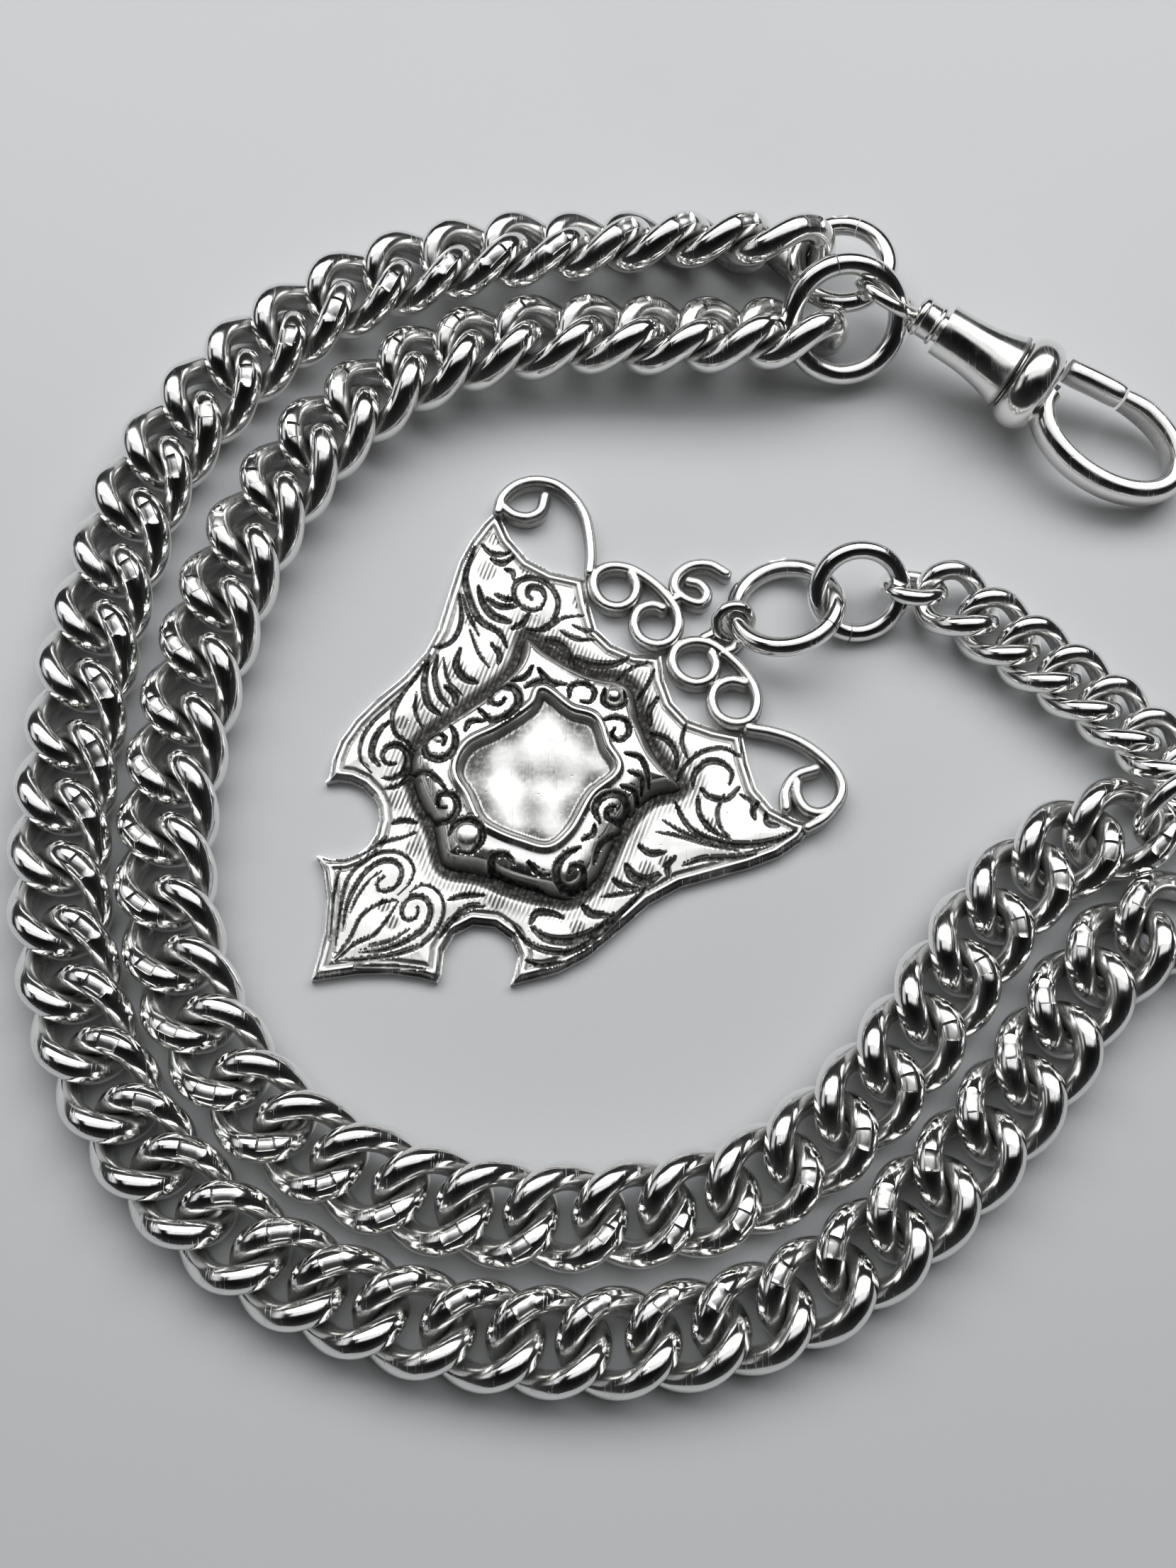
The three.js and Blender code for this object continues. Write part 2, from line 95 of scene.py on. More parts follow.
# ---- materials ----
class Nodes:
    """A material's node tree, with short ways to add and join nodes."""

    def __init__(self, name, world=False):
        self.material = (bpy.data.worlds if world else bpy.data.materials).new(name)
        self.material.use_nodes = True
        self.tree = self.material.node_tree
        self.shader = self.tree.nodes["Background" if world else "Principled BSDF"]

    def add(self, kind, settings=None, **inputs):
        node = self.tree.nodes.new("ShaderNode" + kind)
        for key, value in (settings or {}).items():
            setattr(node, key, value)
        for key, value in inputs.items():
            self.join(value, node.inputs[key.replace("_", " ")])
        return node

    def join(self, value, socket):
        if isinstance(value, bpy.types.NodeSocket):
            self.tree.links.new(value, socket)
        else:
            socket.default_value = value

    def math(self, operation, a, b=0.0, clamp=False):
        node = self.tree.nodes.new("ShaderNodeMath")
        node.operation = operation
        node.use_clamp = clamp
        self.join(a, node.inputs[0])
        self.join(b, node.inputs[1])
        return node.outputs[0]

    def ramp(self, value, low, high, out_low=0.0, out_high=1.0):
        node = self.tree.nodes.new("ShaderNodeMapRange")
        node.interpolation_type = "SMOOTHSTEP"
        for socket, number in zip(node.inputs[:5], (value, low, high, out_low, out_high)):
            self.join(number, socket)
        return node.outputs[0]

    def mix(self, factor, a, b):
        node = self.tree.nodes.new("ShaderNodeMix")
        node.data_type = "RGBA"
        self.join(factor, node.inputs[0])
        self.join(a, node.inputs[6])
        self.join(b, node.inputs[7])
        return node.outputs[2]


def silver(name, bright, shade, rough, rough_worn, scratch, tarnish, hammer=0.0):
    """Silver with cloudy polish, hairline scratches, pits, and tarnish with painted shade where the mesh
    says so.
    """
    n = Nodes(name)
    where = n.add("TexCoord").outputs["Object"]
    cloud = n.add("TexNoise", Vector=where, Scale=420.0, Detail=5.0, Roughness=0.6).outputs[0]
    fine = n.add("TexNoise", Vector=where, Scale=2600.0, Detail=4.0, Roughness=0.65).outputs[0]
    lines = []
    for turn, stretch in ((0.5, 9000.0), (-0.7, 7000.0), (1.7, 12000.0)):
        turned, scaled = (0.3 * turn, 0.2, turn), (stretch, 260.0, 260.0)
        mapping = n.add("Mapping", Vector=where, Rotation=turned, Scale=scaled)
        grain = n.add("TexNoise", Vector=mapping.outputs[0], Scale=1.0, Detail=2.0).outputs[0]
        lines.append(n.ramp(grain, 0.66, 0.74))
    hair = n.math("MAXIMUM", lines[0], n.math("MAXIMUM", lines[1], lines[2]))
    scuffed = n.ramp(cloud, 0.42, 0.66)
    hair = n.math("MULTIPLY", hair, n.math("ADD", scuffed, 0.25), clamp=True)
    pits = n.ramp(n.add("TexVoronoi", Vector=where, Scale=900.0).outputs["Distance"], 0.02, 0.09, 1.0, 0.0)
    # This attribute holds tarnish together with painted shade between and under parts; both darken the
    # colour here.
    dark = n.add("Attribute", {"attribute_name": "tarnish"}).outputs["Fac"]
    dark = n.math("MULTIPLY", dark, n.ramp(fine, 0.25, 0.6, 0.75, 1.0), clamp=True)
    film = n.math("MULTIPLY", n.ramp(cloud, 0.5, 0.75), 0.35)
    colour = n.mix(film, (*bright, 1), (*shade, 1))
    colour = n.mix(dark, colour, (*tarnish, 1))
    n.join(colour, n.shader.inputs["Base Color"])
    roughness = n.ramp(cloud, 0.35, 0.72, rough, rough_worn)
    roughness = n.math("ADD", roughness, n.math("MULTIPLY", hair, 0.12))
    roughness = n.math("ADD", roughness, n.math("MULTIPLY", dark, 0.3), clamp=True)
    n.join(roughness, n.shader.inputs["Roughness"])
    metal = n.math("SUBTRACT", 1.0, n.math("MULTIPLY", dark, 0.25), clamp=True)
    n.join(metal, n.shader.inputs["Metallic"])
    height = n.math("ADD", n.math("MULTIPLY", cloud, hammer), n.math("MULTIPLY", fine, 0.05))
    height = n.math("SUBTRACT", height, n.math("MULTIPLY", hair, scratch))
    height = n.math("SUBTRACT", height, n.math("MULTIPLY", pits, scratch))
    bump = n.add("Bump", Strength=0.35, Distance=0.00006, Height=height)
    n.join(bump.outputs[0], n.shader.inputs["Normal"])
    return n


LINK_SILVER = silver(
    "link_silver", bright=(0.93, 0.925, 0.91), shade=(0.8, 0.79, 0.77), tarnish=(0.035, 0.03, 0.028),
    rough=0.09, rough_worn=0.2, scratch=0.5, hammer=0.5,
).material
CLIP_SILVER = silver(
    "clip_silver", bright=(0.92, 0.91, 0.89), shade=(0.78, 0.77, 0.75), tarnish=(0.04, 0.035, 0.03),
    rough=0.12, rough_worn=0.26, scratch=0.7, hammer=0.6,
).material
STEEL = silver(
    "spring_steel", bright=(0.5, 0.51, 0.53), shade=(0.4, 0.4, 0.42), tarnish=(0.03, 0.03, 0.03),
    rough=0.3, rough_worn=0.42, scratch=0.5,
).material


def fob_silver():
    """Worn silver with fine hatching where the mesh says the engraver laid it."""
    n = silver(
        "fob_silver", bright=(0.93, 0.92, 0.9), shade=(0.7, 0.69, 0.67), tarnish=(0.02, 0.018, 0.017),
        rough=0.17, rough_worn=0.34, scratch=0.9, hammer=0.6,
    )
    bump = n.shader.inputs["Normal"].links[0].from_node
    where = n.add("TexCoord").outputs["Object"]
    laid = n.add("Attribute", {"attribute_name": "hatch"}).outputs["Fac"]
    turned = n.add("Mapping", Vector=where, Rotation=(0, 0, 0.35))
    wave = n.add(
        "TexWave", {"bands_direction": "X"},
        Vector=turned.outputs[0], Scale=950.0, Distortion=1.2, Detail=1.0, Detail_Scale=0.2,
    )
    cut = n.math("MULTIPLY", n.ramp(wave.outputs["Fac"], 0.3, 0.62, 1.0, 0.0), laid, clamp=True)
    old = bump.inputs["Height"].links[0].from_socket
    n.join(n.math("SUBTRACT", old, n.math("MULTIPLY", cut, 2.2)), bump.inputs["Height"])
    base = n.shader.inputs["Base Color"]
    lined = n.math("ADD", n.math("MULTIPLY", cut, 0.6), n.math("MULTIPLY", laid, 0.3), clamp=True)
    n.join(n.mix(lined, base.links[0].from_socket, (0.03, 0.028, 0.026, 1)), base)
    return n.material


FOB_SILVER = fob_silver()


# ---- meshes ----
def piece(name, points, faces, material, body, nodes, slot="silver", sharp=0.7, **fields):
    """A mesh piece that rides on a body and stands for CAD nodes."""
    mesh = bpy.data.meshes.new(name)
    mesh.from_pydata(put(points).tolist(), [], faces)
    mesh.validate()
    for field, values in fields.items():
        attribute = mesh.attributes.new(field, "FLOAT", "POINT")
        attribute.data.foreach_set("value", np.asarray(values, np.float32))
    mesh.shade_smooth()
    mesh.set_sharp_from_angle(angle=sharp)
    mesh.materials.append(material)
    obj = bpy.data.objects.new(name, mesh)
    SCENE.collection.objects.link(obj)
    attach(obj, body)
    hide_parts(*nodes)


def grid_faces(rows, columns, closed_rows=True):
    """Quads between rows of points, each row a closed ring."""
    faces = []
    for i in range(rows if closed_rows else rows - 1):
        a, b = i * columns, ((i + 1) % rows) * columns
        for j in range(columns):
            k = (j + 1) % columns
            faces.append((a + j, b + j, b + k, a + k))
    return faces


def end_faces(rows, columns):
    """The two faces that close a run of rows."""
    last = (rows - 1) * columns
    return [tuple(range(columns)), tuple(reversed(range(last, last + columns)))]


def catmull(points, steps, closed=False):
    """A smooth curve through points (centripetal Catmull-Rom), at equal steps of arc length."""
    p = np.asarray(points, float)
    if closed:
        p = np.vstack([p[-1], p, p[0], p[1]])
    else:
        p = np.vstack([2 * p[0] - p[1], p, 2 * p[-1] - p[-2]])
    out = []
    for a, b, c, d in zip(p, p[1:], p[2:], p[3:]):
        t1 = math.sqrt(max(np.linalg.norm(b - a), 1e-6))
        t2 = t1 + math.sqrt(max(np.linalg.norm(c - b), 1e-6))
        t3 = t2 + math.sqrt(max(np.linalg.norm(d - c), 1e-6))
        t = np.linspace(t1, t2, 24, endpoint=False)[:, None]
        a1 = (t1 - t) / t1 * a + t / t1 * b
        a2 = (t2 - t) / (t2 - t1) * b + (t - t1) / (t2 - t1) * c
        a3 = (t3 - t) / (t3 - t2) * c + (t - t2) / (t3 - t2) * d
        b1 = (t2 - t) / t2 * a1 + t / t2 * a2
        b2 = (t3 - t) / (t3 - t1) * a2 + (t - t1) / (t3 - t1) * a3
        out.append((t2 - t) / (t2 - t1) * b1 + (t - t1) / (t2 - t1) * b2)
    out = np.vstack(out + ([out[0][:1]] if closed else [p[-2][None]]))
    reach = np.r_[0, np.cumsum(np.linalg.norm(np.diff(out, axis=0), axis=1))]
    if callable(steps):
        wanted = steps(reach[-1])
    else:
        wanted = np.linspace(0, reach[-1], steps, endpoint=not closed)
    return np.stack([np.interp(wanted, reach, out[:, k]) for k in range(out.shape[1])], 1)


def tube(line, radius, around):
    """Points of a tube about a closed line. Angle 0 of its section points away from the line's middle."""
    along = np.roll(line, -1, 0) - np.roll(line, 1, 0)
    along /= np.linalg.norm(along, axis=1)[:, None]
    out = line - line.mean(0)
    out = out - (out * along).sum(1)[:, None] * along
    out /= np.linalg.norm(out, axis=1)[:, None]
    side = np.cross(out, along)
    c, s = np.cos(around)[None, :, None], np.sin(around)[None, :, None]
    return line[:, None] + radius[..., None] * (c * out[:, None] + s * side[:, None])


def turned(u, v, angle):
    """Two coordinates, turned in their own plane from the first towards the second."""
    c, s = math.cos(angle), math.sin(angle)
    return u * c - v * s, u * s + v * c


def rotate(points, tilt, heading):
    """Turn about x by tilt, then about z by heading."""
    x, y, z = np.asarray(points).T
    y, z = turned(y, z, tilt)
    return np.stack([*turned(x, y, heading), z], 1)


def rotate_tip(points, tip, towards):
    """Turn about y by tip, then about z by towards."""
    x, y, z = np.asarray(points).T
    z, x = turned(z, x, tip)
    return np.stack([*turned(x, y, towards), z], 1)


def full_turn(count):
    return np.linspace(0, 2 * math.pi, count, endpoint=False)


def smooth(t):
    t = np.clip(t, 0, 1)
    return t * t * (3 - 2 * t)


# ---- curb links ----
def signed_power(value, power):
    return np.sign(value) * np.abs(value) ** power


def curb_line(link, turn):
    """The middle of a link's wire: a full oval whose two ends are twisted opposite ways, without kinks."""
    even = full_turn(256)
    lean = -math.radians(link["twist"]) * signed_power(np.cos(even), 0.8)
    width = link["half_width"] * signed_power(np.sin(even), 0.87)
    along = link["half_length"] * signed_power(np.cos(even), 0.87)
    waves = np.fft.rfft(np.stack([along, width * np.cos(lean), width * np.sin(lean)], 1), axis=0) / 256
    order = np.arange(7)
    swing = np.exp(1j * np.outer(turn, order)) * np.where(order > 0, 2, 1)
    return (swing @ waves[:7]).real


def spaced(low, high, count, marks=()):
    """Even angles from low to high, with close pairs at the edges of a punched mark."""
    even = np.linspace(low, high, count, endpoint=False)
    extra = [m + d for m in marks for d in (-0.02, 0.02)]
    return np.array(sorted([e for e in even if all(abs(e - m) > 0.03 for m in marks)] + extra))


LINK_MARK_DEPTH = 0.17
RING_MARK_DEPTH = 0.08
RING_MARK_HALF = 0.13
RING_MARK_SIDES = (0.75, 1.5)


def curb_mesh(link, mark_turn, mark_side, mark_size):
    """A twisted link in its own frame, with a punched rectangle on one limb, and its tarnish and painted
    shade.
    """
    half_turn, half_side = mark_size
    turns = spaced(0, 2 * math.pi, 84, (mark_turn - half_turn, mark_turn + half_turn))
    sides = spaced(-math.pi, math.pi, 24, (mark_side - half_side, mark_side + half_side))
    line = curb_line(link, turns)
    inside = (np.abs(turns - mark_turn) < half_turn)[:, None] & (np.abs(sides - mark_side) < half_side)[None]
    radius = np.where(inside, link["wire"] - LINK_MARK_DEPTH, link["wire"])
    worn = 1 - 0.035 * np.cos(2 * sides)[None] * np.ones((len(turns), 1))
    points = tube(line, radius * worn, sides)
    # Tarnish and painted shade on the wire's inner side, most at the link's ends; the punched mark is
    # tarnished.
    inner = np.clip(-np.cos(sides), 0, 1)[None] ** 1.2 * (0.4 + 0.6 * np.cos(turns) ** 2)[:, None]
    tarnish = np.where(inside, 0.45, 0.9 * inner)
    return points.reshape(-1, 3), grid_faces(len(turns), len(sides)), tarnish.ravel()


CURB = {"half_length": 3.46, "half_width": 2.88, "wire": 1.08, "twist": 48, "pitch": 4.8}
DROP = {"half_length": 2.85, "half_width": 2.35, "wire": 0.82, "twist": 47, "pitch": 3.8}
# Links of one body are a little further apart than the last link of a body is from the next body's first.
CLOSE_PITCH = 4.25
PER_BODY = 3
# A lean table gives (distance along the chain, degrees). first is the first link's height and lean.
OUTER = {
    "name": "outer",
    "bodies": 14,
    "route": [
        (17.13, 43.4), (9, 44.3), (-1, 44), (-11, 42.8), (-20, 39.6), (-28, 33.3), (-34, 24.8), (-37.2, 14),
        (-38.9, 2), (-39.1, -9.1), (-36.6, -19.3), (-31.4, -28.2), (-24.3, -34.7), (-15.1, -39), (-4, -41.1),
        (7, -40.7), (16.2, -37.6), (25.3, -30.4), (32.3, -22.2), (37.1, -15.2), (40.7, -12.2), (44.8, -10.3),
    ],
    "lean": [(0, 74), (7, 64), (14, 52), (22, 38), (34, 20), (56, 6), (210, 0)],
    "start": 0.6,
    "first": (4.19, 74),
}
INNER = {
    "name": "inner",
    "bodies": 12,
    "route": [
        (18.6, 36.4), (8, 36.1), (-4, 36.1), (-13, 33.7), (-20.2, 28.1), (-25.6, 20.1), (-29.1, 10.2),
        (-31.1, -1), (-31, -10), (-28.4, -18.1), (-23.5, -24.9), (-16.6, -29.4), (-8, -32.1), (2, -32.5),
        (10.9, -30.7), (17.8, -26.2), (23.5, -20), (27.8, -13.7), (31.9, -8.5), (37, -5), (43.2, -3.4),
    ],
    "lean": [(0, 48), (12, 34), (30, 22), (60, 12), (190, 8)],
    "start": 0,
    "first": (3.35, 48),
}
DROPS = {
    "links": 7,
    "route": [(27, 15), (31.7, 11.6), (38.2, 6.4), (43.4, 1.6), (48, -3)],
    "lean": [(0, -10), (6, -4), (28, -32)],
    "start": 0.0,
}


def link_places(link, spec, count, per_body):
    """Each link's middle, heading and lean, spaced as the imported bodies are."""
    open_pitch = (link["pitch"] * per_body - CLOSE_PITCH) / (per_body - 1) if per_body > 1 else link["pitch"]
    reach = [link["pitch"] / 2]
    for i in range(count - 1):
        last = per_body > 1 and i % per_body == per_body - 1
        reach.append(reach[-1] + (CLOSE_PITCH if last else open_pitch))
    if per_body > 1:
        even = link["pitch"] / 2 + link["pitch"] * np.arange(count)
        reach = 0.25 * np.array(reach) + 0.75 * even - spec["start"] * np.exp(-np.arange(count) / 6)
    reach = np.array(reach)
    route = [(x, y, 0) for x, y in spec["route"]]
    middles, ahead, behind = (
        catmull(route, lambda length: np.minimum(reach, length) + step) for step in (0, 0.05, -0.05)
    )
    headings = np.arctan2(*(ahead - behind)[:, 1::-1].T)
    leans = np.radians(np.interp(reach, *zip(*spec["lean"])))
    if "first" in spec:
        leans[0] = math.radians(spec["first"][1])
    turn = np.linspace(0, 2 * math.pi, 90)
    for i, lean in enumerate(leans):
        low = rotate(curb_line(link, turn), lean, 0)[:, 2].min()
        middles[i, 2] = spec["first"][0] if i == 0 and "first" in spec else link["wire"] - low
    return list(zip(middles, headings, leans))


TURN = full_turn(60)


def touched(points, lines, wire):
    """How near each point is to the wires of the next links: 1 where they touch, used for painted shade
    between links.
    """
    gap = np.full(len(points), 9.0)
    for line in lines:
        gap = np.minimum(gap, np.linalg.norm(points[:, None] - line[None], axis=2).min(1) - wire)
    return 1 - smooth((gap - 0.05) / 0.75)


def build_strand(spec, mark_turn, limb, mark_tilt):
    count = spec["bodies"] * PER_BODY + 1
    places = link_places(CURB, spec, count, PER_BODY)
    lines = [rotate(curb_line(CURB, TURN), lean, heading) + middle for middle, heading, lean in places]
    for i, (middle, heading, lean) in enumerate(places):
        k = i // PER_BODY
        node = f"{spec['name']}_end_link" if k == spec["bodies"] else f"{spec['name']}_links_{k + 1:02d}"
        nudge = RNG.normal(0, 1, 4)
        mark_side = math.pi / 2 - limb * (lean + mark_tilt) + 0.1 * nudge[1]
        points, faces, tarnish = curb_mesh(CURB, mark_turn + 0.1 * nudge[0], mark_side, (0.16, 0.5))
        points = rotate(points, lean + 0.035 * nudge[2], heading + 0.02 * nudge[3]) + middle
        # Painted shade: darker on the lower part of each link and where its wire comes near the neighbouring
        # links.
        near = lines[max(0, i - 1):i] + lines[i + 1:i + 2]
        shade_below = 0.75 * smooth((middle[2] - 0.4 - points[:, 2]) / 1.8)
        tarnish = np.maximum(np.maximum(tarnish, 0.85 * touched(points, near, CURB["wire"])), shade_below)
        piece(f"{spec['name']}_link_{i + 1:02d}", points, faces, LINK_SILVER, node, [node], tarnish=tarnish)


build_strand(OUTER, 2.15, 1, 0.22)
build_strand(INNER, 5.48, -1, -0.3)
for i, (middle, heading, lean) in enumerate(link_places(DROP, DROPS, DROPS["links"], 1)):
    name = f"drop_link_{DROPS['links'] - i}"
    points, faces, tarnish = curb_mesh(DROP, 1.5, 0.5, (0.05, 0.05))
    points = rotate(points, lean, heading) + middle
    piece(f"{name}_wire", points, faces, LINK_SILVER, name, [name], tarnish=tarnish)


# ---- jump rings ----
def ring_points(at, tip, towards, radius, wire, cut=None, gap=0.05, mark=None):
    """A jump ring of round wire. cut is the angle of its butted ends, mark that of a punched mark."""
    marks = (mark - RING_MARK_HALF, mark + RING_MARK_HALF) if mark is not None else ()
    sides = spaced(-math.pi, math.pi, 26, RING_MARK_SIDES if mark is not None else ())
    if cut is None:
        turns = spaced(0, 2 * math.pi, 110, marks)
    else:
        first, last = gap / radius, 2 * math.pi - gap / radius
        turns = cut + np.r_[spaced(first, last, 110, [(m - cut) % (2 * math.pi) for m in marks]), last]
    line = np.stack([radius * np.cos(turns), radius * np.sin(turns), 0 * turns], 1)
    size = np.full((len(turns), len(sides)), wire)
    # Tarnish and painted shade on the inner side of the ring's wire.
    tarnish = 0.4 * np.clip(-np.cos(sides), 0, 1)[None] ** 3 * np.ones((len(turns), 1))
    if mark is not None:
        off = np.abs((turns - mark + math.pi) % (2 * math.pi) - math.pi)
        first_side, last_side = RING_MARK_SIDES
        inside = (off < RING_MARK_HALF)[:, None] & ((sides > first_side) & (sides < last_side))[None]
        size[inside] -= RING_MARK_DEPTH
        tarnish[inside] = 0.35
    along = np.stack([-np.sin(turns), np.cos(turns), 0 * turns], 1)
    out = line / radius
    side = np.cross(out, along)
    c, s = np.cos(sides)[None, :, None], np.sin(sides)[None, :, None]
    points = (line[:, None] + size[..., None] * (c * out[:, None] + s * side[:, None])).reshape(-1, 3)
    faces = grid_faces(len(turns), len(sides), closed_rows=cut is None)
    if cut is not None:
        faces += end_faces(len(turns), len(sides))
    points = rotate_tip(points, math.radians(tip), math.radians(towards)) + np.array(at)
    return points, faces, tarnish.ravel()


RINGS = {
    "strand_ring_a": dict(
        at=(20.31, 42.09, 4.02), tip=6.1, towards=129, radius=3.65, wire=0.79, cut=5.2, mark=5.6
    ),
    "strand_ring_b": dict(at=(20.38, 36.99, 4.38), tip=39.9, towards=-78.4, radius=4.35, wire=0.88, cut=3.2),
    "fob_ring_1": dict(
        at=(15.2, 13.55, 2.2), tip=22, towards=119, radius=3.93, wire=0.76, cut=3.6, mark=-0.4
    ),
    "fob_ring_2": dict(at=(20.85, 14.62, 2.73), tip=37, towards=-82, radius=3.3, wire=0.72, cut=-0.3),
    "drop_ring": dict(at=(25.1, 15.1, 2.3), tip=48, towards=84, radius=2.15, wire=0.62),
    "junction_ring": dict(at=(43.76, -2.83, 3.9), tip=70.4, towards=-60.4, radius=3.4, wire=0.66, cut=1.0),
    "t_bar_ring": dict(at=(47.6, -1.98, 4.27), tip=34, towards=67.3, radius=2.7, wire=0.6, cut=0.5),
}
for name, ring in RINGS.items():
    points, faces, tarnish = ring_points(**ring)
    piece(f"{name}_wire", points, faces, LINK_SILVER, name, [name], tarnish=tarnish)


# ---- swivel clip ----
def lathe(profile, around=72, dents=0.0):
    """A solid of revolution about the clip's axis from a profile of (x, radius)."""
    turns = full_turn(around)
    x = np.array([p[0] for p in profile])[:, None]
    r = np.array([max(p[1], 0.004) for p in profile])[:, None] * (1 + dents * np.sin(3 * turns + 1)[None])
    points = np.stack([np.broadcast_to(x, (len(profile), around)), r * np.cos(turns), r * np.sin(turns)], 2)
    faces = grid_faces(len(profile), around, closed_rows=False) + end_faces(len(profile), around)
    return points.reshape(-1, 3), faces


def rounded(profile, radius=0.12, steps=3):
    """A profile with its corners rounded."""
    p = np.array(profile, float)
    out = [p[0]]
    for a, b, c in zip(p, p[1:], p[2:]):
        u, v = a - b, c - b
        r = min(radius, 0.45 * np.linalg.norm(u), 0.45 * np.linalg.norm(v))
        start, end = b + u / np.linalg.norm(u) * r, b + v / np.linalg.norm(v) * r
        for t in np.linspace(0, 1, steps + 1):
            out.append((1 - t) ** 2 * start + 2 * t * (1 - t) * b + t * t * end)
    out.append(p[-1])
    return out


def clip_piece(name, points, faces, body, nodes, material=CLIP_SILVER, slot="silver", tarnish=0.0):
    """A piece whose points are in the clip's own frame."""
    values = np.broadcast_to(tarnish, (len(points),))
    piece(name, on_clip(points), faces, material, body, nodes, slot, tarnish=values)


barrel_side = [(-7.9 + 6.0 * t, 2.12 + 0.12 * t + 0.82 * t ** 3.2) for t in np.linspace(0, 1, 22)]
barrel_back = rounded([(-8.0, 1.15), (-8.1, 2.1)], 0.1)
barrel_lip = rounded([(-1.9, 3.06), (-1.72, 3.02), (-1.7, 0.2)], 0.05)
points, faces = lathe(barrel_back + barrel_side + barrel_lip, dents=0.006)
# Painted shade on the barrel's mouth, in the gap against the bead.
dark = np.clip((points[:, 0] + 1.95) / 0.1, 0, 0.8)
clip_piece("barrel_shell", points, faces, "clip", ["swivel_barrel"], tarnish=dark)
neck = [
    (-10.55, 0.004), (-10.55, 1.3), (-10.25, 1.62), (-9.9, 1.66), (-9.8, 1.5), (-8.85, 1.5), (-8.75, 1.66),
    (-8.5, 1.66), (-8.45, 1.2), (-7.9, 1.2), (-7.9, 0.004),
]
points, faces = lathe(rounded(neck, 0.1))
clip_piece("bow_neck", points, faces, "swivel_bow", ["swivel_bow"])
points, faces, tarnish = ring_points((23.83, 38.76, 4.62), 54.1, 53.7, 2.52, 0.56)
piece("bow_wire", points, faces, CLIP_SILVER, "swivel_bow", ["swivel_bow"], tarnish=tarnish)


# ---- fields over a flat shape ----
def gap_squared(points, a, b):
    """Squared distance from each 2-D point to the straight piece from a to b."""
    d = b - a
    t = np.clip(((points - a) @ d) / max(float(d @ d), 1e-12), 0, 1)
    gap = points - a - t[:, None] * d
    return (gap * gap).sum(1)


def distance_to(points, line):
    """Distance from each 2-D point to a polyline."""
    best = np.full(len(points), 1e9)
    for a, b in zip(line, line[1:]):
        best = np.minimum(best, gap_squared(points, a, b))
    return np.sqrt(best)


def within(points, outline):
    """Whether each 2-D point lies inside a closed outline."""
    x, y = points.T
    inside = np.zeros(len(points), bool)
    for (x0, y0), (x1, y1) in zip(outline, np.roll(outline, -1, 0)):
        if y0 != y1:
            crosses = ((y0 > y) != (y1 > y)) & (x < (x1 - x0) * (y - y0) / (y1 - y0) + x0)
            inside ^= crosses
    return inside


def outline_field(outline):
    """A function that says how far inside a closed outline points are."""
    closed = np.vstack([outline, outline[:1]])

    def depth(points):
        return np.where(within(points, outline), 1, -1) * distance_to(points, closed)

    return depth


def strokes_field(lines, half_width):
    """A function that says how far inside a bent wire points are."""
    def depth(points):
        best = np.full(len(points), -9.0)
        for line in lines:
            near = np.all((points > line.min(0) - 1.2) & (points < line.max(0) + 1.2), 1)
            best[near] = np.maximum(best[near], half_width - distance_to(points[near], line))
        return best

    return depth


CELL = 0.1
BACK_TARNISH = 0.12


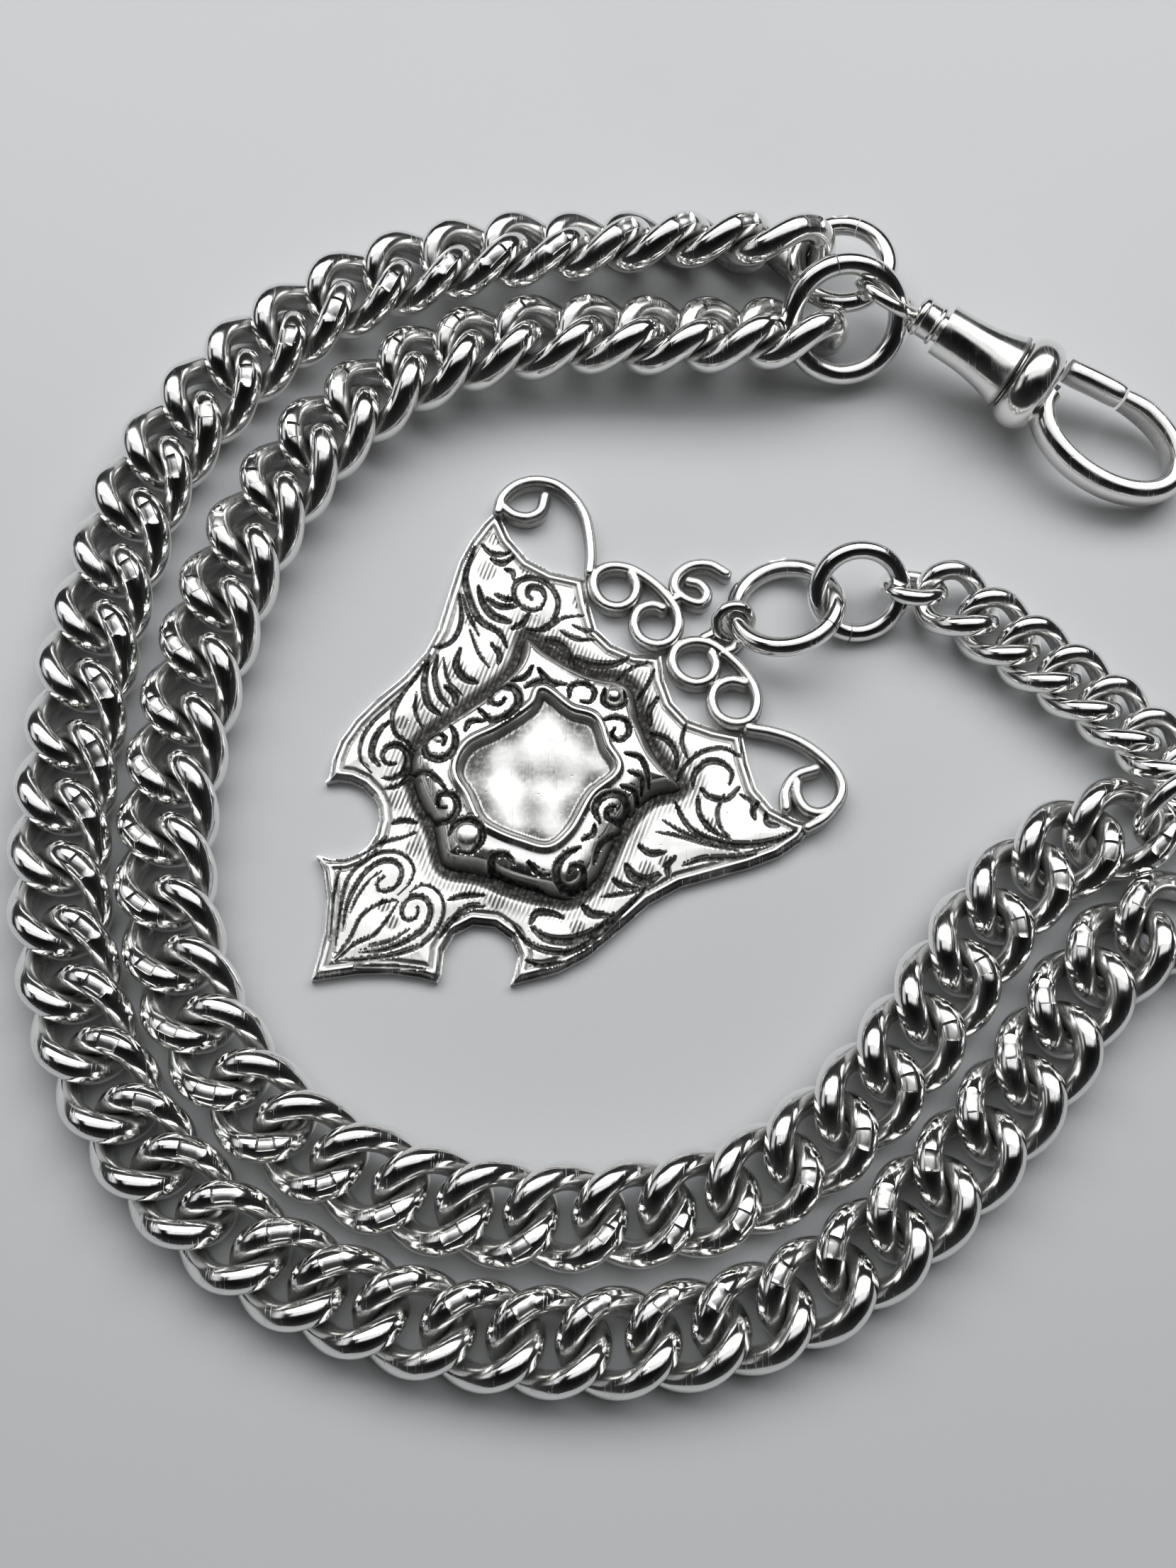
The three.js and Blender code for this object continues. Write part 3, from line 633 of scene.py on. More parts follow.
def relief(name, depth, top, low, box, node):
    """A closed plate: depth(uv) is how far inside its edge, top(uv, depth) gives z, tarnish with painted
    shade, and hatching.
    """
    u = np.arange(box[0], box[2] + CELL, CELL)
    v = np.arange(box[1], box[3] + CELL, CELL)
    uu, vv = np.meshgrid(u, v, indexing="ij")
    flat = np.stack([uu.ravel(), vv.ravel()], 1)
    field = depth(flat).reshape(uu.shape)
    middle = (field[:-1, :-1] + field[1:, :-1] + field[:-1, 1:] + field[1:, 1:]) / 4
    keep = middle > 0
    gu, gv = np.gradient(field, CELL)
    size = np.maximum(gu * gu + gv * gv, 0.2)
    used = np.zeros(uu.shape, int)
    for a in (0, 1):
        for b in (0, 1):
            used[a:a + keep.shape[0], b:b + keep.shape[1]] += keep
    edge = (used > 0) & (used < 4)
    # Corners of the grid near the edge move onto it.
    step = np.where(edge, np.clip(field, -1.5 * CELL, 1.5 * CELL), 0)
    uu, vv = uu - step * gu / size, vv - step * gv / size
    field = np.where(edge, 0, np.maximum(field, 0))
    index = -np.ones(uu.shape, int)
    index[used > 0] = np.arange((used > 0).sum())
    flat = np.stack([uu[used > 0], vv[used > 0]], 1)
    z, tarnish, hatch = top(flat, field[used > 0])
    i, j = np.nonzero(keep)
    quads = np.stack([index[i, j], index[i + 1, j], index[i + 1, j + 1], index[i, j + 1]], 1)
    count = len(flat)
    on_edge = edge[used > 0]
    sides = np.vstack([quads[:, [k, (k + 1) % 4]] for k in range(4)])
    keys = {(int(a), int(b)) for a, b in sides[on_edge[sides].all(1)]}
    rim = [(a, b) for a, b in keys if (b, a) not in keys]
    rims = sorted({a for a, _ in rim})
    lower = {a: count + k for k, a in enumerate(rims)}
    base = flat[rims]
    points = np.vstack([np.c_[flat, z], np.c_[base, np.full(len(base), low)]])
    faces = quads.tolist() + [(b, a, lower[a], lower[b]) for a, b in rim]
    nexts = {a: b for a, b in rim}
    bottom = []
    while nexts:
        start = next(iter(nexts))
        loop, at = [], start
        while at in nexts:
            loop.append(at)
            at = nexts.pop(at)
        bottom.append(loop)
    if len(bottom) == 1:
        faces.append([lower[a] for a in reversed(bottom[0])])
    else:
        start = len(points)
        inner = np.setdiff1d(np.arange(count), rims)
        place = {int(a): start + k for k, a in enumerate(inner)}
        place.update(lower)
        points = np.vstack([points, np.c_[flat[inner], np.full(len(inner), low)]])
        faces += [[place[int(a)] for a in reversed(q)] for q in quads]
    extra = len(points) - count
    tarnish = np.r_[tarnish, np.full(extra, BACK_TARNISH)]
    hatch = np.r_[hatch, np.zeros(extra)]
    points = on_fob(points)
    piece(name, points, faces, FOB_SILVER, "fob", [node], "worn_silver", 0.6, tarnish=tarnish, hatch=hatch)


# ---- clip hook, gate and pin ----
def band(line, inner, outer, thick, section):
    """A bar along a flat line: its section runs from the inner face, half-flat, to the rounded outer one."""
    line = np.asarray(line, float)
    along = np.gradient(line, axis=0)
    along /= np.linalg.norm(along, axis=1)[:, None]
    out = np.stack([along[:, 1], -along[:, 0]], 1)
    points = []
    for k, (p, o) in enumerate(zip(line, out)):
        w = inner[k] + (outer[k] - inner[k]) * section[:, 0]
        points.append(np.c_[p[0] + o[0] * w, p[1] + o[1] * w, thick[k] * section[:, 1]])
    faces = grid_faces(len(line), len(section), closed_rows=False) + end_faces(len(line), len(section))
    return np.vstack(points), [tuple(reversed(f)) for f in faces]


def d_section(count=24, square=0.5):
    """Half round outside, nearly flat inside, as (0..1 inner to outer, -1..1 across)."""
    t = full_turn(count)
    x = signed_power(np.cos(t), square)
    y = signed_power(np.sin(t), 0.75)
    x = np.where(x > 0, np.cos(t), x)
    return np.stack([(x + 1) / 2, y], 1)


turns = np.radians(np.linspace(96, -186, 90))
line = np.stack([7.6 + 5.85 * np.cos(turns), -0.35 + 3.62 * np.sin(turns)], 1)
ends = np.clip(np.linspace(0, 1, 90) / 0.06, 0, 1)
outer, thick = -0.95 * (0.8 + 0.2 * ends), 1.4 * (0.85 + 0.15 * ends)
points, faces = band(line, np.full(90, 0.8), outer, thick, d_section())
# Darker on the hook's flat inner face.
inner_face = np.tile(smooth((0.3 - d_section()[:, 0]) / 0.3), 90)
clip_piece("hook_band", points, faces, "clip", ["clip_hook"], tarnish=0.35 * inner_face)
bead = [(1.55 * math.sin(a), 2.55 + 1.25 * math.cos(a)) for a in np.radians(np.linspace(-85, 85, 25))]
bead = [(-1.62, 0.3), (-1.6, 2.75)] + bead + [(1.6, 2.5), (1.62, 0.3)]
points, faces = lathe(rounded(bead, 0.08, 2))
clip_piece("bead_shell", points, faces, "clip", ["clip_hook"])
gate = catmull([(2.0, 2.75), (2.8, 2.85), (4.2, 3.05), (5.6, 3.2), (6.75, 3.3)], 24)
wide = np.full(24, 0.86) * (1 - 0.08 * np.linspace(-1, 1, 24) ** 6)
points, faces = band(gate, 0.98 * wide, -1.12 * wide, 1.45 * wide, d_section())
# Painted shade on the gate's end, where it runs into the bead's slot.
dark = np.clip((2.35 - points[:, 0]) / 0.4, 0, 0.9)
clip_piece("gate_bar", points, faces, "gate_lever", ["gate_lever"], tarnish=dark)


def pin_points(middle, radius, low, high, dome):
    """A domed pin standing across the clip."""
    turns = full_turn(28)
    x, y = np.cos(turns), np.sin(turns)
    rows = [(0.02, low - dome), (0.7 * radius, low - 0.7 * dome), (radius, low), (radius, high)]
    rows += [(0.7 * radius, high + 0.7 * dome), (0.02, high + dome)]
    points = np.vstack([np.c_[middle[0] + r * x, middle[1] + r * y, np.full(28, z)] for r, z in rows])
    sides = [tuple(reversed(f)) for f in grid_faces(len(rows), 28, closed_rows=False)]
    return points, sides + end_faces(len(rows), 28)


points, faces = pin_points((0.6, 2.6), 0.4, -1.6, 1.6, 0.1)
clip_piece("gate_pin_wire", points, faces, "clip", ["gate_pin"], STEEL, "steel")
spring = catmull([(-0.6, 0.95), (0.6, 0.94), (1.6, 0.97), (2.2, 1.02)], 12)
points, faces = band(spring, np.full(12, 0.1), np.full(12, -0.1), np.full(12, 0.5), d_section(16))
clip_piece("gate_spring_leaf", points, faces, "clip", ["gate_spring"], STEEL, "steel", 0.3)

# ---- T-bar ----
BAR_LOOP = np.array([50.52, -2.94, 3.74])
BAR_HEADING = math.radians(-29)
away = np.array([math.cos(BAR_HEADING), math.sin(BAR_HEADING), 0])
rod = rounded([
    (-13.5, 0.004), (-13.45, 0.9), (-12.7, 1.5), (-11.9, 0.95), (-11.4, 1.05), (-2.4, 1.2), (-2, 1.45),
    (2, 1.45), (2.4, 1.2), (11.4, 1.05), (11.9, 0.95), (12.7, 1.5), (13.45, 0.9), (13.5, 0.004),
], 0.25, 4)
points, faces = lathe(rod)
points = rotate(points, 0, BAR_HEADING + math.pi / 2) + BAR_LOOP + 3.4 * away - np.array([0, 0, 0.6])
piece("t_bar_rod", points, faces, LINK_SILVER, "t_bar", ["t_bar"], tarnish=np.zeros(len(points)))
points, faces, tarnish = ring_points(BAR_LOOP, 83.9, -118.9, 1.9, 0.52)
piece("t_bar_loop", points, faces, LINK_SILVER, "t_bar", ["t_bar"], tarnish=tarnish)

# ---- shield fob ----
NOTCH_TURNS = np.radians(range(199, 428, 19))
NOTCH = [(9.7 + 3.1 * math.cos(turn), 7.8 + 3.1 * math.sin(turn)) for turn in NOTCH_TURNS]
EDGE_LEFT = [(0, 0.1), (1.6, 1.1), (3.1, 2.1), (5.0, 3.9), (6.2, 5.6), (6.75, 7.0)] + NOTCH + [
    (11.5, 10.75), (12.6, 11.6), (14, 12.3), (16, 12.75), (18.1, 12.85), (21, 12.75), (23.5, 13),
    (25.5, 13.7), (28.4, 15.4), (30.5, 16.6), (32.4, 17.3), (34.2, 17.65), (35.8, 17.75),
]
EDGE_TOP = [
    (35.5, 17.2), (34.8, 15.3), (34.6, 13), (35.2, 11), (36.6, 8.8), (35.4, 7), (34.4, 5.2), (34.4, 3.4),
    (35.1, 1.6), (36.4, 0.1), (35.2, -1.5), (34.4, -3.2), (34.3, -5), (35.2, -6.9), (36.4, -8.7),
    (35.1, -10.6), (34.1, -12.5), (33.9, -14.4), (34.5, -16.3), (35.2, -17.5),
]
EDGE_RIGHT = [
    (33.5, -17.75), (31.5, -17.4), (29.4, -16.5), (27, -15.2), (24.6, -13.9), (22, -13.2), (19, -13.1),
    (16, -12.9), (13.5, -12.2), (11.6, -11.1), (10.3, -10.4), (10.9, -10.15), (12.2, -9.3), (12.75, -7.9),
    (12.5, -6.4), (11.5, -5.2), (10, -4.75), (8.5, -5.2), (7.2, -6.3), (6.6, -6.5), (6, -5.4), (4.6, -3.6),
    (2.9, -2), (1.4, -0.9),
]
PLATE_EDGE = np.array(EDGE_LEFT + EDGE_TOP + EDGE_RIGHT)
CARTOUCHE_EDGE = catmull([
    (12.7, -0.5), (14.1, 2.3), (15, 5), (16.2, 7), (17.6, 7.9), (20.2, 7.9), (24.5, 7.3), (27.6, 7.4),
    (30, 8.6), (30.5, 6), (31.4, 3), (33, -0.1), (31.6, -2.8), (30.6, -5.4), (30, -8.8), (27.6, -7.7),
    (24.2, -8.1), (20.4, -9.4), (17.9, -9.1), (16.5, -7.4), (15.2, -5.2), (14.2, -2.9),
], 200, closed=True)
PANEL_EDGE = catmull([
    (17.2, -0.2), (17.9, 1.9), (18.4, 3.7), (20.3, 4.6), (23, 3.9), (26.2, 3.5), (27.3, 3.9), (27.8, 1.2),
    (28.6, -0.5), (27.7, -2.6), (27.1, -4.4), (24.4, -4.4), (21.2, -5.3), (19.4, -5.1), (18.3, -3.4),
    (17.5, -1.6),
], 160, closed=True)

# Engraved cuts on the plate, as (half width, points), upper half first.
CUTS = [
    (0.13, [
        (2.6, 0.35), (4.2, 1.7), (5.8, 3), (7.4, 3.9), (9.2, 4), (10.7, 3.3), (11.4, 2.1), (11.2, 0.9),
        (10.2, 0.35), (9, 0.3),
    ]),
    (0.17, [
        (4.2, 1.2), (5.6, 2.3), (7.2, 3), (8.8, 3.3), (10.2, 2.8), (10.6, 1.8), (9.9, 1), (8.8, 0.95),
        (8.2, 1.5), (8.5, 2.1), (9.2, 2),
    ]),
    (0.12, [(2.2, 0.05), (4.2, 0.35), (6, 1), (7.6, 0.7), (8.6, 0.1)]),
    (0.1, [(5.4, 1.75), (6.8, 2.3), (8.2, 2.6), (9.3, 2.5)]),
    (0.11, [(3, 1.3), (4.6, 2.8), (6, 4), (7.4, 4.9)]),
    (0.12, [(9, 4.5), (10.8, 4.1), (12.2, 3.3), (13.2, 2.9)]),
    (0.17, [(12.4, 4.7), (13.2, 4.2), (13.8, 3.4)]),
    (0.1, [(7.3, 5.6), (8.2, 4.9), (9.6, 4.4), (11.4, 4.2)]),
    (0.15, [(14, 8.7), (14.1, 10), (15.2, 11.1), (16.9, 11.6), (19.4, 11.6), (21.6, 12), (23.6, 12.5)]),
    (0.24, [(14.8, 8.6), (14.9, 9.6), (15.7, 10.3), (16.8, 10.7), (17.7, 10.7)]),
    (0.2, [
        (14.3, 7.8), (14.9, 7.2), (16, 7.1), (16.9, 7.8), (17, 8.7), (16.3, 9.3), (15.5, 9.1), (15.3, 8.4),
        (15.8, 7.9),
    ]),
    (0.15, [(13.7, 7.2), (14.8, 6.5), (16.2, 6.7), (17.3, 7.6), (17.6, 8.8)]),
    (0.17, [(17.7, 8.4), (17.4, 9.6), (18.2, 10.9), (19.8, 11.6), (21.6, 11.9)]),
    (0.12, [(19.2, 8.6), (19.6, 9.8), (20.8, 11)]),
    (0.26, [(20.9, 8.4), (20.8, 9.6), (21.7, 11.1), (23.1, 12.2)]),
    (0.2, [(21.8, 8.4), (21.9, 9.6), (22.7, 11), (24, 12.1)]),
    (0.24, [(22.3, 8.2), (22.8, 8.9), (22.7, 9.8)]),
    (0.26, [(24.7, 8.3), (24.2, 9.3), (24.5, 10.5), (25.6, 11.2)]),
    (0.12, [(23.2, 8.4), (23.2, 10), (24.2, 11.6)]),
    (0.18, [(24.2, 12.9), (24.9, 12.3), (26, 12.2), (27.3, 12.9), (28.7, 14.6)]),
    (0.12, [(26.2, 8.6), (26.4, 10), (27.2, 11.8)]),
    (0.2, [(26.9, 8.3), (27.5, 8.8), (27.6, 9.8)]),
    (0.14, [(28.8, 14.4), (28, 12.8), (27.4, 11)]),
    (0.24, [(28.3, 8.8), (28.7, 10), (28.3, 11.7), (28.9, 13.6), (30.1, 15.4), (32.2, 16.6)]),
    (0.28, [(29.9, 10.1), (29.3, 11.4), (29.5, 12.8), (30.1, 13.9)]),
    (0.2, [(29.6, 9.7), (30.5, 9.4), (31.6, 9.7)]),
    (0.2, [(29.9, 12.8), (30.2, 11.6), (31.1, 10.7)]),
    (0.15, [(30.6, 12.6), (31, 11.6), (31.5, 11.2)]),
    (0.2, [
        (30.8, 8.2), (32.3, 7.9), (33.7, 8.7), (34.2, 10.2), (33.6, 11.7), (32.4, 12.1), (31.5, 11.3),
        (31.5, 10), (32.3, 9.3), (33.2, 9.6),
    ]),
    (0.22, [(33.2, 9.6), (33.5, 10.4), (33, 11.1), (32.4, 10.8), (32.4, 10.3)]),
    (0.18, [(32.8, 16.4), (32.8, 15.3), (33.4, 14.6), (34, 14.4)]),
    (0.2, [(32.4, 15), (32.8, 14.1), (33.9, 13.9)]),
    (0.18, [(32.6, 13.6), (32.9, 13), (32.5, 12.5)]),
    (0.12, [(30.4, 8.9), (31.4, 7.8), (33, 7.5), (34.4, 6.6)]),
    (0.3, [(30.9, 7.2), (31.4, 6.2), (31.3, 5), (30.9, 4.2)]),
    (0.16, [(32.2, 6.9), (32.6, 5.6), (33.6, 4.6)]),
    (0.24, [(31.5, 4.6), (32.1, 3.2), (33.2, 2.1), (34.4, 1.7)]),
    (0.12, [(33.2, 6.6), (33.6, 5.6), (34.2, 5)]),
    (0.12, [(32.6, 1), (34, 0.9), (35.3, 0.4)]),
    (0.13, [
        (2.6, -0.4), (4, -1.6), (5.8, -2.9), (7.6, -3.7), (9.4, -3.6), (10.8, -2.8), (11.3, -1.5),
        (10.8, -0.4), (9.8, -0.2),
    ]),
    (0.18, [
        (4, -0.9), (5.4, -2), (7, -2.7), (8.8, -2.9), (10, -2.2), (10.2, -1.2), (9.4, -0.5), (8.3, -0.8),
        (8.1, -1.6), (8.9, -1.9), (9.4, -1.4),
    ]),
    (0.12, [(2.2, -0.1), (4, -0.2), (5.6, -0.7), (7.2, -0.5), (8.6, -0.1)]),
    (0.1, [(4.8, -1.1), (6.2, -1.9), (7.8, -2.2)]),
    (0.12, [(3, -1.4), (4.6, -2.9), (5.8, -4.2), (6.6, -5.2)]),
    (0.2, [(9, -4.2), (10.8, -3.9), (12.2, -4.1), (13, -4.8)]),
    (0.16, [(11.4, -2.6), (12.6, -3.3), (13.6, -4.2)]),
    (0.2, [
        (13.6, -7.4), (13.4, -8.8), (13.9, -10.4), (15.4, -11.8), (17.6, -12.3), (20, -12.3), (22.6, -12.2),
    ]),
    (0.3, [(14.4, -8.4), (14.6, -9.8), (15.8, -11.2), (17.4, -11.9), (19.4, -12)]),
    (0.22, [(14.5, -8.2), (15.4, -7.9), (16.2, -8.6), (16.6, -9.5)]),
    (0.16, [(12.4, -9.9), (13, -11), (14.4, -12)]),
    (0.24, [(18.3, -9.8), (18.3, -10.8), (19.2, -11.8)]),
    (0.12, [(19.8, -10.4), (21.4, -11.6), (23, -12.3)]),
    (0.2, [(21.3, -10), (21.5, -11), (22.2, -11.8)]),
    (0.34, [(22.8, -9.9), (22.5, -10.9), (23, -11.9), (24, -12.2)]),
    (0.2, [(24.5, -9.5), (24.7, -10.6), (25.6, -11.3)]),
    (0.2, [(24.4, -12.8), (25, -12.1), (25.8, -12.1)]),
    (0.12, [(26.2, -9.7), (27.2, -11.2), (28.2, -13), (29.6, -15)]),
    (
        0.22,
        [(28.9, -9), (28.3, -10.6), (28.3, -12), (29, -13.6), (30.4, -15.2), (32.2, -16.4), (33.8, -16.9)],
    ),
    (0.12, [(27.2, -9.4), (27.6, -11.2), (28.4, -13)]),
    (0.16, [(25.8, -12.9), (27.2, -13.6), (28.6, -14.8), (30.4, -16.1)]),
    (0.18, [(30.4, -9.9), (29.5, -11), (29.3, -12.6), (29.7, -13.8)]),
    (0.14, [(31.9, -11.2), (30.6, -11.8), (29.9, -12.8), (29.8, -14)]),
    (0.2, [(30.6, -9.2), (31.4, -8.5), (32.8, -8.5), (33.6, -9.4), (33.6, -10.4), (32.8, -10.9)]),
    (0.18, [(31, -9.6), (31, -10.6), (31.8, -11.6), (33.2, -11.6)]),
    (0.14, [(32.8, -12), (33, -13), (32.6, -13.6)]),
    (0.2, [(32.2, -14.2), (32.6, -13.6), (33.4, -13.4)]),
    (0.2, [(33.2, -15.8), (32.7, -15), (33.2, -14.4)]),
    (0.15, [(30.2, -7.9), (31.6, -7.5), (33.2, -7.7), (34.5, -8.6), (35, -10)]),
    (0.2, [(31.4, -3.8), (31.9, -5.2), (31.6, -6.4), (30.8, -7.2)]),
    (0.16, [(32, -7.2), (32.6, -6), (33.8, -5.2)]),
    (0.2, [(31.8, -3.4), (32.6, -2.5), (33.8, -2.2)]),
    (0.14, [(32.6, -1.2), (34, -0.9), (35.2, -0.4)]),
]
# Cuts that shape the scrolls on the cartouche's border.
CUTS_RAISED = [
    (0.26, [
        (20.6, 6.9), (20.2, 5.8), (19.2, 5.1), (18.1, 5.4), (17.7, 6.4), (18.3, 7.2), (19.3, 7.1),
        (19.6, 6.3), (19.1, 6),
    ]),
    (0.2, [(15.9, 6.4), (16.8, 5.2), (16.9, 3.8), (16.8, 3.2)]),
    (0.24, [
        (14.8, 3.3), (14.7, 2.2), (15.5, 1.4), (16.6, 1.7), (16.9, 2.7), (16.2, 3.3), (15.6, 2.8),
        (15.9, 2.3),
    ]),
    (0.28, [
        (23, 6.3), (23, 5), (24, 4.3), (25.4, 4.4), (26, 5.3), (25.6, 6.3), (24.6, 6.6), (24, 5.9),
        (24.4, 5.3), (24.9, 5.4),
    ]),
    (0.2, [(21, 5.6), (21.8, 5.9), (22.6, 5.2)]),
    (0.22, [(26.3, 6.2), (27.2, 5.6), (28.2, 5.8)]),
    (0.2, [(26.6, 5), (27.8, 4.6), (28.6, 3.6)]),
    (0.2, [(28.4, 5.4), (28.3, 4), (29, 3)]),
    (0.2, [(28.4, 2), (29.2, 2.6), (30.1, 2.1), (30.2, 1.1), (29.4, 0.7), (28.9, 1.2)]),
    (0.2, [(29, -1), (29.8, -1.4), (30.3, -2.3), (29.7, -3.1), (28.8, -3), (28.7, -2.3), (29.2, -2.1)]),
    (0.2, [(30.9, 0.7), (30.1, 0), (30.4, -0.9), (31.3, -1.1), (31.9, -0.4)]),
    (0.2, [(28.4, -4), (29, -5), (28.6, -6.2), (28, -7)]),
    (0.18, [(27.6, -5.2), (28, -6.2), (27.2, -7)]),
    (0.22, [(14.6, 0.6), (15.6, 0.9), (16.6, 0.3), (16.7, -0.8), (15.9, -1.5), (14.9, -1.5), (14.3, -0.8)]),
    (0.28, [
        (16.6, -4.4), (16.6, -3.4), (15.9, -2.9), (15.2, -3.4), (15.3, -4.4), (15.9, -5.6), (16.6, -6.8),
        (16.9, -8.2),
    ]),
    (0.2, [(17.4, -5), (17.4, -6.2), (17.9, -6.8)]),
    (0.28, [
        (20.9, -6.9), (20, -6.6), (18.8, -6.7), (18, -7.6), (18.3, -8.6), (19.3, -8.8), (20, -8.1),
        (19.6, -7.5), (19, -7.7),
    ]),
    (0.28, [
        (23.3, -6.6), (23.8, -5.5), (25, -5.3), (25.9, -6), (25.7, -7), (24.7, -7.4), (24, -6.7),
        (24.5, -6.2), (25, -6.4),
    ]),
    (0.2, [(20.8, -8.4), (22.2, -7.7), (23.4, -7.7), (24, -8)]),
    (0.18, [(21.4, -6.6), (22.4, -6.8), (22.9, -6.4)]),
    (0.2, [(26.4, -5.6), (26.9, -6.6), (26.4, -7.4)]),
]
# Patches of fine hatching, as (middle u, middle v, radius).
HATCHED = [
    (24.2, 10.2, 1.1), (23.3, 11.6, 0.9), (20.2, 10.2, 0.8), (31, 11.4, 0.7), (33.9, 12.4, 0.8),
    (31.5, 14.4, 1.1), (33.8, 16, 0.8), (14, 5.6, 1.1), (12.2, 2, 0.9), (13.3, 0.6, 1), (32.4, 2.6, 0.9),
    (31, 3.6, 0.9), (8, 5.2, 0.7), (32.8, -1.8, 0.9), (31.8, -3, 0.8), (14, -5.2, 1), (13, -3.2, 1),
    (16.8, -10.8, 0.8), (23.6, -11.2, 0.8), (29.4, -12.2, 0.8), (25, -11.8, 0.7), (34.8, 7.6, 0.7),
    (27.8, 12.4, 0.8), (18.3, 9.9, 0.7), (7.6, 0.4, 0.7), (7.2, -1, 0.7),
]


def cut_depth(points, cuts):
    """How deep the graver went, 0 to 1, at each point."""
    best = np.zeros(len(points))
    for half, line in cuts:
        line = catmull(line, 28)
        t = np.linspace(0, 1, len(line))
        width = 1.35 * half * (0.3 + 0.7 * np.sin(math.pi * t ** 0.8) ** 0.7)
        near = np.nonzero(np.all((points > line.min(0) - 0.5) & (points < line.max(0) + 0.5), 1))[0]
        score = np.zeros(len(near))
        for a, b, w in zip(line, line[1:], width):
            score = np.maximum(score, 1 - np.sqrt(gap_squared(points[near], a, b)) / w)
        best[near] = np.maximum(best[near], np.clip(1.8 * score, 0, 1) * min(1.0, 0.35 + half / 0.3))
    return best


cartouche_depth = outline_field(CARTOUCHE_EDGE)
panel_depth = outline_field(PANEL_EDGE)


def hatch_at(points):
    """How strongly each point is hatched, 0 to 1."""
    best = np.zeros(len(points))
    for u, v, r in HATCHED:
        best = np.maximum(best, smooth(2.2 * (1 - np.hypot(points[:, 0] - u, points[:, 1] - v) / r)))
    return best


def plate_top(points, depth):
    """The engraved plate's height, tarnish with a painted shadow around the cartouche, and hatching."""
    cuts = cut_depth(points, CUTS)
    away_from = np.clip(-cartouche_depth(points), -1, 9)
    rim = smooth(depth / 0.55)
    groove = np.exp(-((depth - 0.85) / 0.16) ** 2)
    swell = 0.14 * smooth((away_from - 0.6) / 2.2) * smooth((depth - 0.9) / 1.6)
    trench = 1 - smooth((away_from - 0.1) / 0.7)
    z = 0.78 + 0.32 * rim + swell - 0.24 * cuts - 0.14 * groove - 0.2 * trench
    z += 0.02 * np.sin(1.3 * points[:, 0] + 0.8 * points[:, 1]) * smooth((depth - 1) / 1.5)
    # The trench term is painted shadow around the cartouche's foot; the cuts and the groove carry tarnish.
    tarnish = np.clip(1.9 * cuts + 0.7 * groove + 1.2 * trench, 0, 1)
    hatch = np.maximum(hatch_at(points), 0.8 * smooth(2.2 - away_from))
    return z, tarnish, hatch * (depth > 0.9)


# Raised balls on the cartouche's border, as (middle u, middle v, radius, height).
BALLS = [(15.6, -0.4, 1, 0.5), (31.1, -0.2, 0.65, 0.35), (24.6, -6.4, 0.4, 0.2), (19.2, 6.6, 0.35, 0.2)]
# Waves that together cloud the worn panel, as (along u, along v, start).
WAVES = [(0.9, 0.4, 0), (-0.5, 1.1, 2), (1.3, -1, 4), (1.7, 1.5, 1), (-2.1, 1.2, 3)]


def cartouche_top(points, depth):
    """The chased cartouche's height, tarnish and painted shade at the foot of its wall, with its sunk panel.
    """
    u, v = points.T
    cuts = cut_depth(points, CUTS_RAISED)
    panel = panel_depth(points)
    wall = smooth(depth / 1.15)
    z = 0.7 + 2.1 * wall + 0.35 * smooth((depth - 0.6) / 1.4)
    rim = np.exp(-((panel + 0.25) / 0.3) ** 2)
    sunk = smooth((panel - 0.02) / 0.45)
    ball = 0
    for ball_u, ball_v, radius, height in BALLS:
        out = ((u - ball_u) ** 2 + (v - ball_v) ** 2) / (radius * radius)
        ball = np.maximum(ball, height * np.sqrt(np.clip(1 - out, 0, 1)))
    z = z + 0.28 * rim + ball - 0.5 * cuts * (1 - sunk) - 0.8 * sunk
    z += 0.035 * np.sin(1.1 * u) * np.sin(0.9 * v + 0.6) * smooth((panel - 0.6) / 1.2)
    corner = np.exp(-((panel - 0.4) / 0.2) ** 2)
    # The (1 - wall) term is painted shade at the foot of the wall; the cuts and the panel's corner carry
    # tarnish.
    tarnish = np.clip(1.9 * cuts + 1.2 * (1 - wall) ** 1.1 + 0.75 * corner, 0, 1)
    cloud = sum(np.sin(a * u + b * v + c) for a, b, c in WAVES)
    worn_panel = 0.36 + 0.1 * cloud + 0.45 * smooth((2.0 - panel) / 1.5)
    tarnish = np.where(panel > 0.6, np.clip(worn_panel, 0.05, 0.9), tarnish)
    return z, tarnish, np.zeros(len(points))


plate_depth = outline_field(PLATE_EDGE)
relief("fob_plate_relief", plate_depth, plate_top, 0.0, (-0.3, -18.2, 37.0, 18.2), "fob_plate")
relief("cartouche_relief", cartouche_depth, cartouche_top, 0.7, (12.2, -10.0, 33.6, 9.2), "fob_cartouche")

